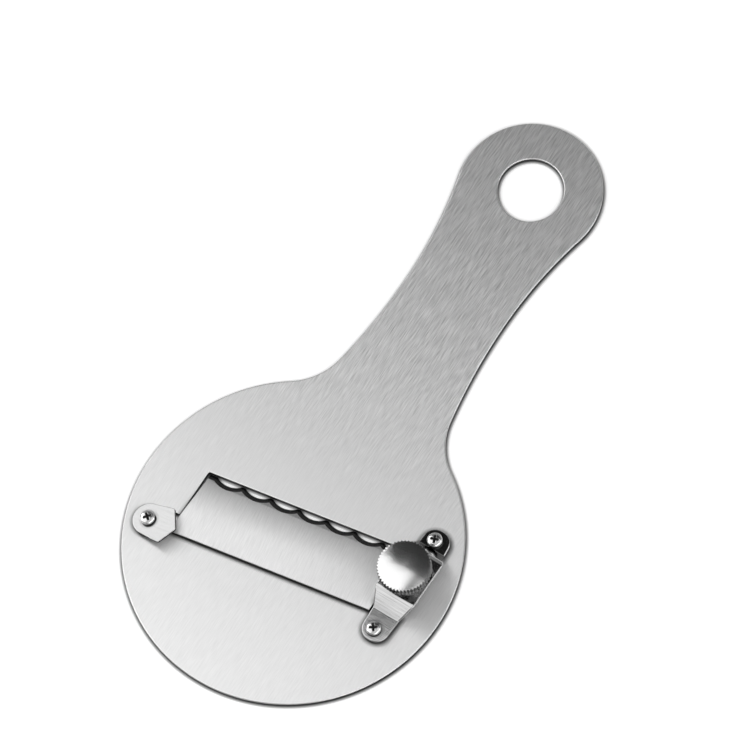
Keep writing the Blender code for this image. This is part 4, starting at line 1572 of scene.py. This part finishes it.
@dataclass
class Thumbscrew(Piecework):
    """The knurled knob, its threaded stud, and the washer between the stud and the blade."""

    blade: Blade = field(kw_only=True)
    stud_width: float = 0.0040
    pitch: float = 0.0007
    travel: float = 0.00105
    thread_depth: float = 0.0003
    neck_width: float = 0.0018
    peened_width: float = 0.0036
    peened_depth: float = 0.0004
    peened_chamfer: float = 0.00015
    washer_width: float = 0.0040
    washer: float = 0.0004
    washer_gap: float = 0.00035
    knob_width: float = 0.0145
    knob_height: float = 0.0030
    knob_dome: float = 0.0005
    knob_chamfer: float = 0.0003
    teeth: int = 48
    tooth_depth: float = 0.0005
    tooth_margin: float = 0.0002
    hub_width: float = 0.0080
    hub_height: float = 0.0023
    stud_in_knob: float = 0.0024
    flange_top: float = 0.00685
    chamfer: float = 0.00025
    fine_chamfer: float = 0.0001

    def blade_height(self, square: float, above: float) -> float:
        """The height of a blade face.

        Args:
            square: How far square to the blade.
            above: How far above the blade's underside the face is.

        Returns:
            The height in the model's frame.
        """
        tilt = self.blade.tilt
        lift = (self.blade.gap + above) / math.cos(tilt)
        return self.layout.front + lift - (square + self.layout.slot_back) * math.tan(tilt)

    @property
    def washer_seat(self) -> float:
        """The height of the washer's underside."""
        rim = self.layout.stud_square - self.washer_width / 2
        return self.blade_height(rim, self.blade.thickness) + self.washer_gap

    @property
    def hub_low(self) -> float:
        """The height of the hub's underside."""
        return self.flange_top + self.layout.seat + self.travel

    def build(self) -> None:
        """Makes the washer, the stud and the knob."""
        place = Matrix.Translation(self.layout.stud)
        low, high, cut = self.washer_seat, self.washer_seat + self.washer, self.fine_chamfer
        bore, rim = self.neck_width / 2 + self.layout.seat, self.washer_width / 2
        ring = [(bore, low), (rim - cut, low), (rim, low + cut)]
        ring += [(rim, high - cut), (rim - cut, high), (bore, high)]
        washer = self.settled("thrust_washer", turned(ring, steps=64), "turned", place)
        self.keep(washer, Body.WASHER, "turned", "thrust_washer")
        self.stud(place, high)
        self.knob(place)

    def stud(self, place: Matrix, washer_top: float) -> None:
        """Makes the threaded stud.

        Args:
            place: The stud's axis.
            washer_top: The height of the washer's top.
        """
        core = self.stud_width / 2 - self.thread_depth
        neck, peened = self.neck_width / 2, self.peened_width / 2
        peened_top = self.blade_height(self.layout.stud_square + peened, 0) - self.washer_gap
        shoulder = washer_top + self.layout.seat
        top = self.hub_low + self.hub_height + self.stud_in_knob
        low = peened_top - self.peened_depth
        profile = [
            (0, low),
            (peened - 2 * self.peened_chamfer, low),
            (peened, low + self.peened_chamfer),
            (peened, peened_top),
            (neck, peened_top),
            (neck, shoulder),
            (core - self.fine_chamfer, shoulder),
            (core, shoulder + self.fine_chamfer),
            (core, top),
            (0, top),
        ]
        piece = self.settled("thumb_stud", turned(profile, steps=64), "turned")
        ends = (shoulder + self.thread_depth, top - self.thread_depth)
        wind_thread(piece, self.stud_width / 2, self.pitch, self.thread_depth, ends)
        self.keep(seated(piece, place), Body.THUMBSCREW, "turned", "thumb_stud")

    def knob(self, place: Matrix) -> None:
        """Makes the knurled knob.

        Args:
            place: The stud's axis.
        """
        rim, hub, core = self.knob_width / 2, self.hub_width / 2, self.knob_width / 2 - self.tooth_depth
        bore = self.stud_width / 2 + self.layout.seat
        low, cut, under = self.hub_low, self.chamfer, self.knob_chamfer
        head = low + self.hub_height
        tooth_height = self.knob_height - self.tooth_margin
        ball = (core**2 + self.knob_dome**2) / (2 * self.knob_dome)
        span = math.asin(core / ball)
        top = head + self.knob_height + self.knob_dome
        dome = arc((0, top - ball), ball, math.pi / 2 - span, math.pi / 2, steps=16)[:-1]
        roof = head + self.stud_in_knob + self.layout.seat
        profile = [
            (0, roof),
            (bore, roof),
            (bore, low),
            (hub - cut, low),
            (hub, low + cut),
            (hub, head),
            (core - under, head),
            (core, head + under),
            (core, head + tooth_height),
            *dome,
            (0, top),
        ]
        piece = self.settled("thumb_knob", turned(profile, steps=144), "turned")
        values = {
            "Count": self.teeth,
            "Radius": core,
            "Depth": rim - core,
            "Width": math.tau * core / self.teeth,
            "Height": tooth_height,
            "Low": head + self.tooth_margin,
            "Fall": 2 * (rim - core) * math.tan(span) / self.knob_height,
            "Finish": self.finishes["turned"],
            # The tooth flanks take the painted shade.
            "Tooth Finish": self.finishes["knurl"],
        }
        knurl_recipe().run(piece, values)
        self.keep(seated(piece, place), Body.THUMBSCREW, "turned", "thumb_knob")


# Studio


@dataclass
class Panel:
    """A soft light panel that hangs level, facing down.

    Attributes:
        name: Its name.
        centre: The middle of the panel.
        size: Its width and length.
        radiance: How bright its surface is, where 1 is white.
        height: How high it hangs.
    """

    name: str
    centre: Point
    size: Point
    radiance: float
    height: float = 0.50

    def hang(self) -> None:
        """Adds the panel to the scene."""
        data = bpy.data.lights.new(self.name, "AREA")
        data.shape = "RECTANGLE"
        data.size, data.size_y = self.size
        data.energy = self.radiance * math.pi * self.size[0] * self.size[1]
        lamp = bpy.data.objects.new(self.name, data)
        lamp.location = (*self.centre, self.height)
        bpy.context.scene.collection.objects.link(lamp)


@dataclass
class Studio:
    """The pale floor, the room and the soft panels.

    Attributes:
        floor_size: The floor's width.
        floor_drop: How far under the working face it lies.
        room: The strength of the room's light.
        skyline: Its strength low down past the ring.
        past_ring: How far towards Y a direction points where the skyline starts and where it is full.
        overhead: How far up one points where the skyline starts to fade and where it has gone.
        panels: The panels.
    """

    floor_size: float = 12.0
    floor_drop: float = 0.00005
    room: float = 0.022
    skyline: float = 0.38
    past_ring: Point = (-0.1, 0.35)
    overhead: Point = (0.50, 0.75)
    panels: Sequence[Panel] = (
        Panel("far_left_panel", (-0.85, -0.345), (0.70, 1.11), 2.8),
        Panel("left_panel", (-0.35, -0.395), (0.30, 1.01), 1.38),
        Panel("left_strip", (-0.40, 0.1625), (0.20, 0.085), 2.15),
        Panel("near_panel", (-0.11, -0.411), (0.18, 0.978), 1.40),
        Panel("right_panel", (0.27, -0.415), (0.50, 0.97), 0.7),
        Panel("far_right_panel", (0.76, -0.415), (0.48, 0.97), 3.4),
        Panel("right_strip", (0.65, 0.165), (1.10, 0.19), 1.15),
        Panel("rim_panel", (0.90, 0.45), (0.70, 0.42), 2.6),
    )

    def build(self) -> None:
        """Lays the floor, lights the room and hangs the panels."""
        half = self.floor_size / 2
        mesh = bpy.data.meshes.new("floor")
        corners = [(-half, -half), (half, -half), (half, half), (-half, half)]
        mesh.from_pydata([(x, y, -self.floor_drop) for x, y in corners], [], [(0, 1, 2, 3)])
        mesh.materials.append(FloorFinish().material())
        placed("floor", mesh)
        self.light_room()
        for panel in self.panels:
            panel.hang()
        bpy.context.scene.view_settings.view_transform = "Standard"

    def light_room(self) -> None:
        """Gives the room its own dim light, which is stronger low down past the ring."""
        world = bpy.data.worlds.new("room")
        world.use_nodes = True
        book = NodeBook(world.node_tree, "ShaderNode")
        _, along, up = book.parts(book.node("TexCoord").outputs["Generated"])
        (start, full), (fade, gone) = self.past_ring, self.overhead
        low_down = book.ramp(along, (start, self.room), (full, self.skyline))
        sky = book.tree.nodes["Background"]
        sky.inputs["Color"].default_value = (1.0, 1.0, 1.0, 1.0)
        book.tree.links.new(book.ramp(up, (fade, low_down), (gone, self.room)), sky.inputs["Strength"])
        bpy.context.scene.world = world


@dataclass
class LongCamera:
    """A camera with a very long lens, at the viewing angle of the picture.

    Attributes:
        right: The picture's right in the model's frame.
        back: The direction from the object to the camera.
        target: The point in the middle of the picture.
        width: The width of the picture at the target.
        distance: How far the camera stands back.
        sensor: The sensor's width in millimetres.
        clip_end: How far the camera sees.
    """

    right: tuple[float, float, float] = (0.8354, 0.5411, -0.0938)
    back: tuple[float, float, float] = (0.2715, -0.2586, 0.9265)
    target: tuple[float, float, float] = (-0.00676, 0.00576, 0.0015)
    width: float = 0.1965
    distance: float = 4.0
    sensor: float = 36.0
    clip_end: float = 50.0

    def build(self) -> None:
        """Adds the camera and makes it the scene's."""
        back = Vector(self.back).normalized()
        up = back.cross(Vector(self.right)).normalized()
        right = up.cross(back).normalized()
        data = bpy.data.cameras.new("long_camera")
        data.sensor_width = self.sensor
        data.lens = self.sensor * self.distance / self.width
        data.clip_end = self.clip_end
        camera = bpy.data.objects.new("long_camera", data)
        matrix = Matrix((right, up, back)).transposed().to_4x4()
        matrix.translation = Vector(self.target) + back * self.distance
        camera.matrix_world = matrix
        bpy.context.scene.collection.objects.link(camera)
        bpy.context.scene.camera = camera


def main() -> None:
    """Builds the studio and every sub-assembly."""
    logging.basicConfig(level=logging.INFO, format="%(name)s: %(message)s")
    LongCamera().build()
    Studio().build()
    recipes = vars(Finishes())
    finishes = {name: finish.material() for name, finish in recipes.items()}
    common = (Layout(), finishes, {name: finish.slot for name, finish in recipes.items()})
    blade = Blade(*common)
    work = [Plate(*common), blade, Clip(*common), Bridge(*common), Screws(*common)]
    work.append(Thumbscrew(*common, blade=blade))
    for part in work:
        part.build()
        LOG.info("%s made %d pieces", type(part).__name__, len(part.made))


if __name__ == "__main__":
    main()
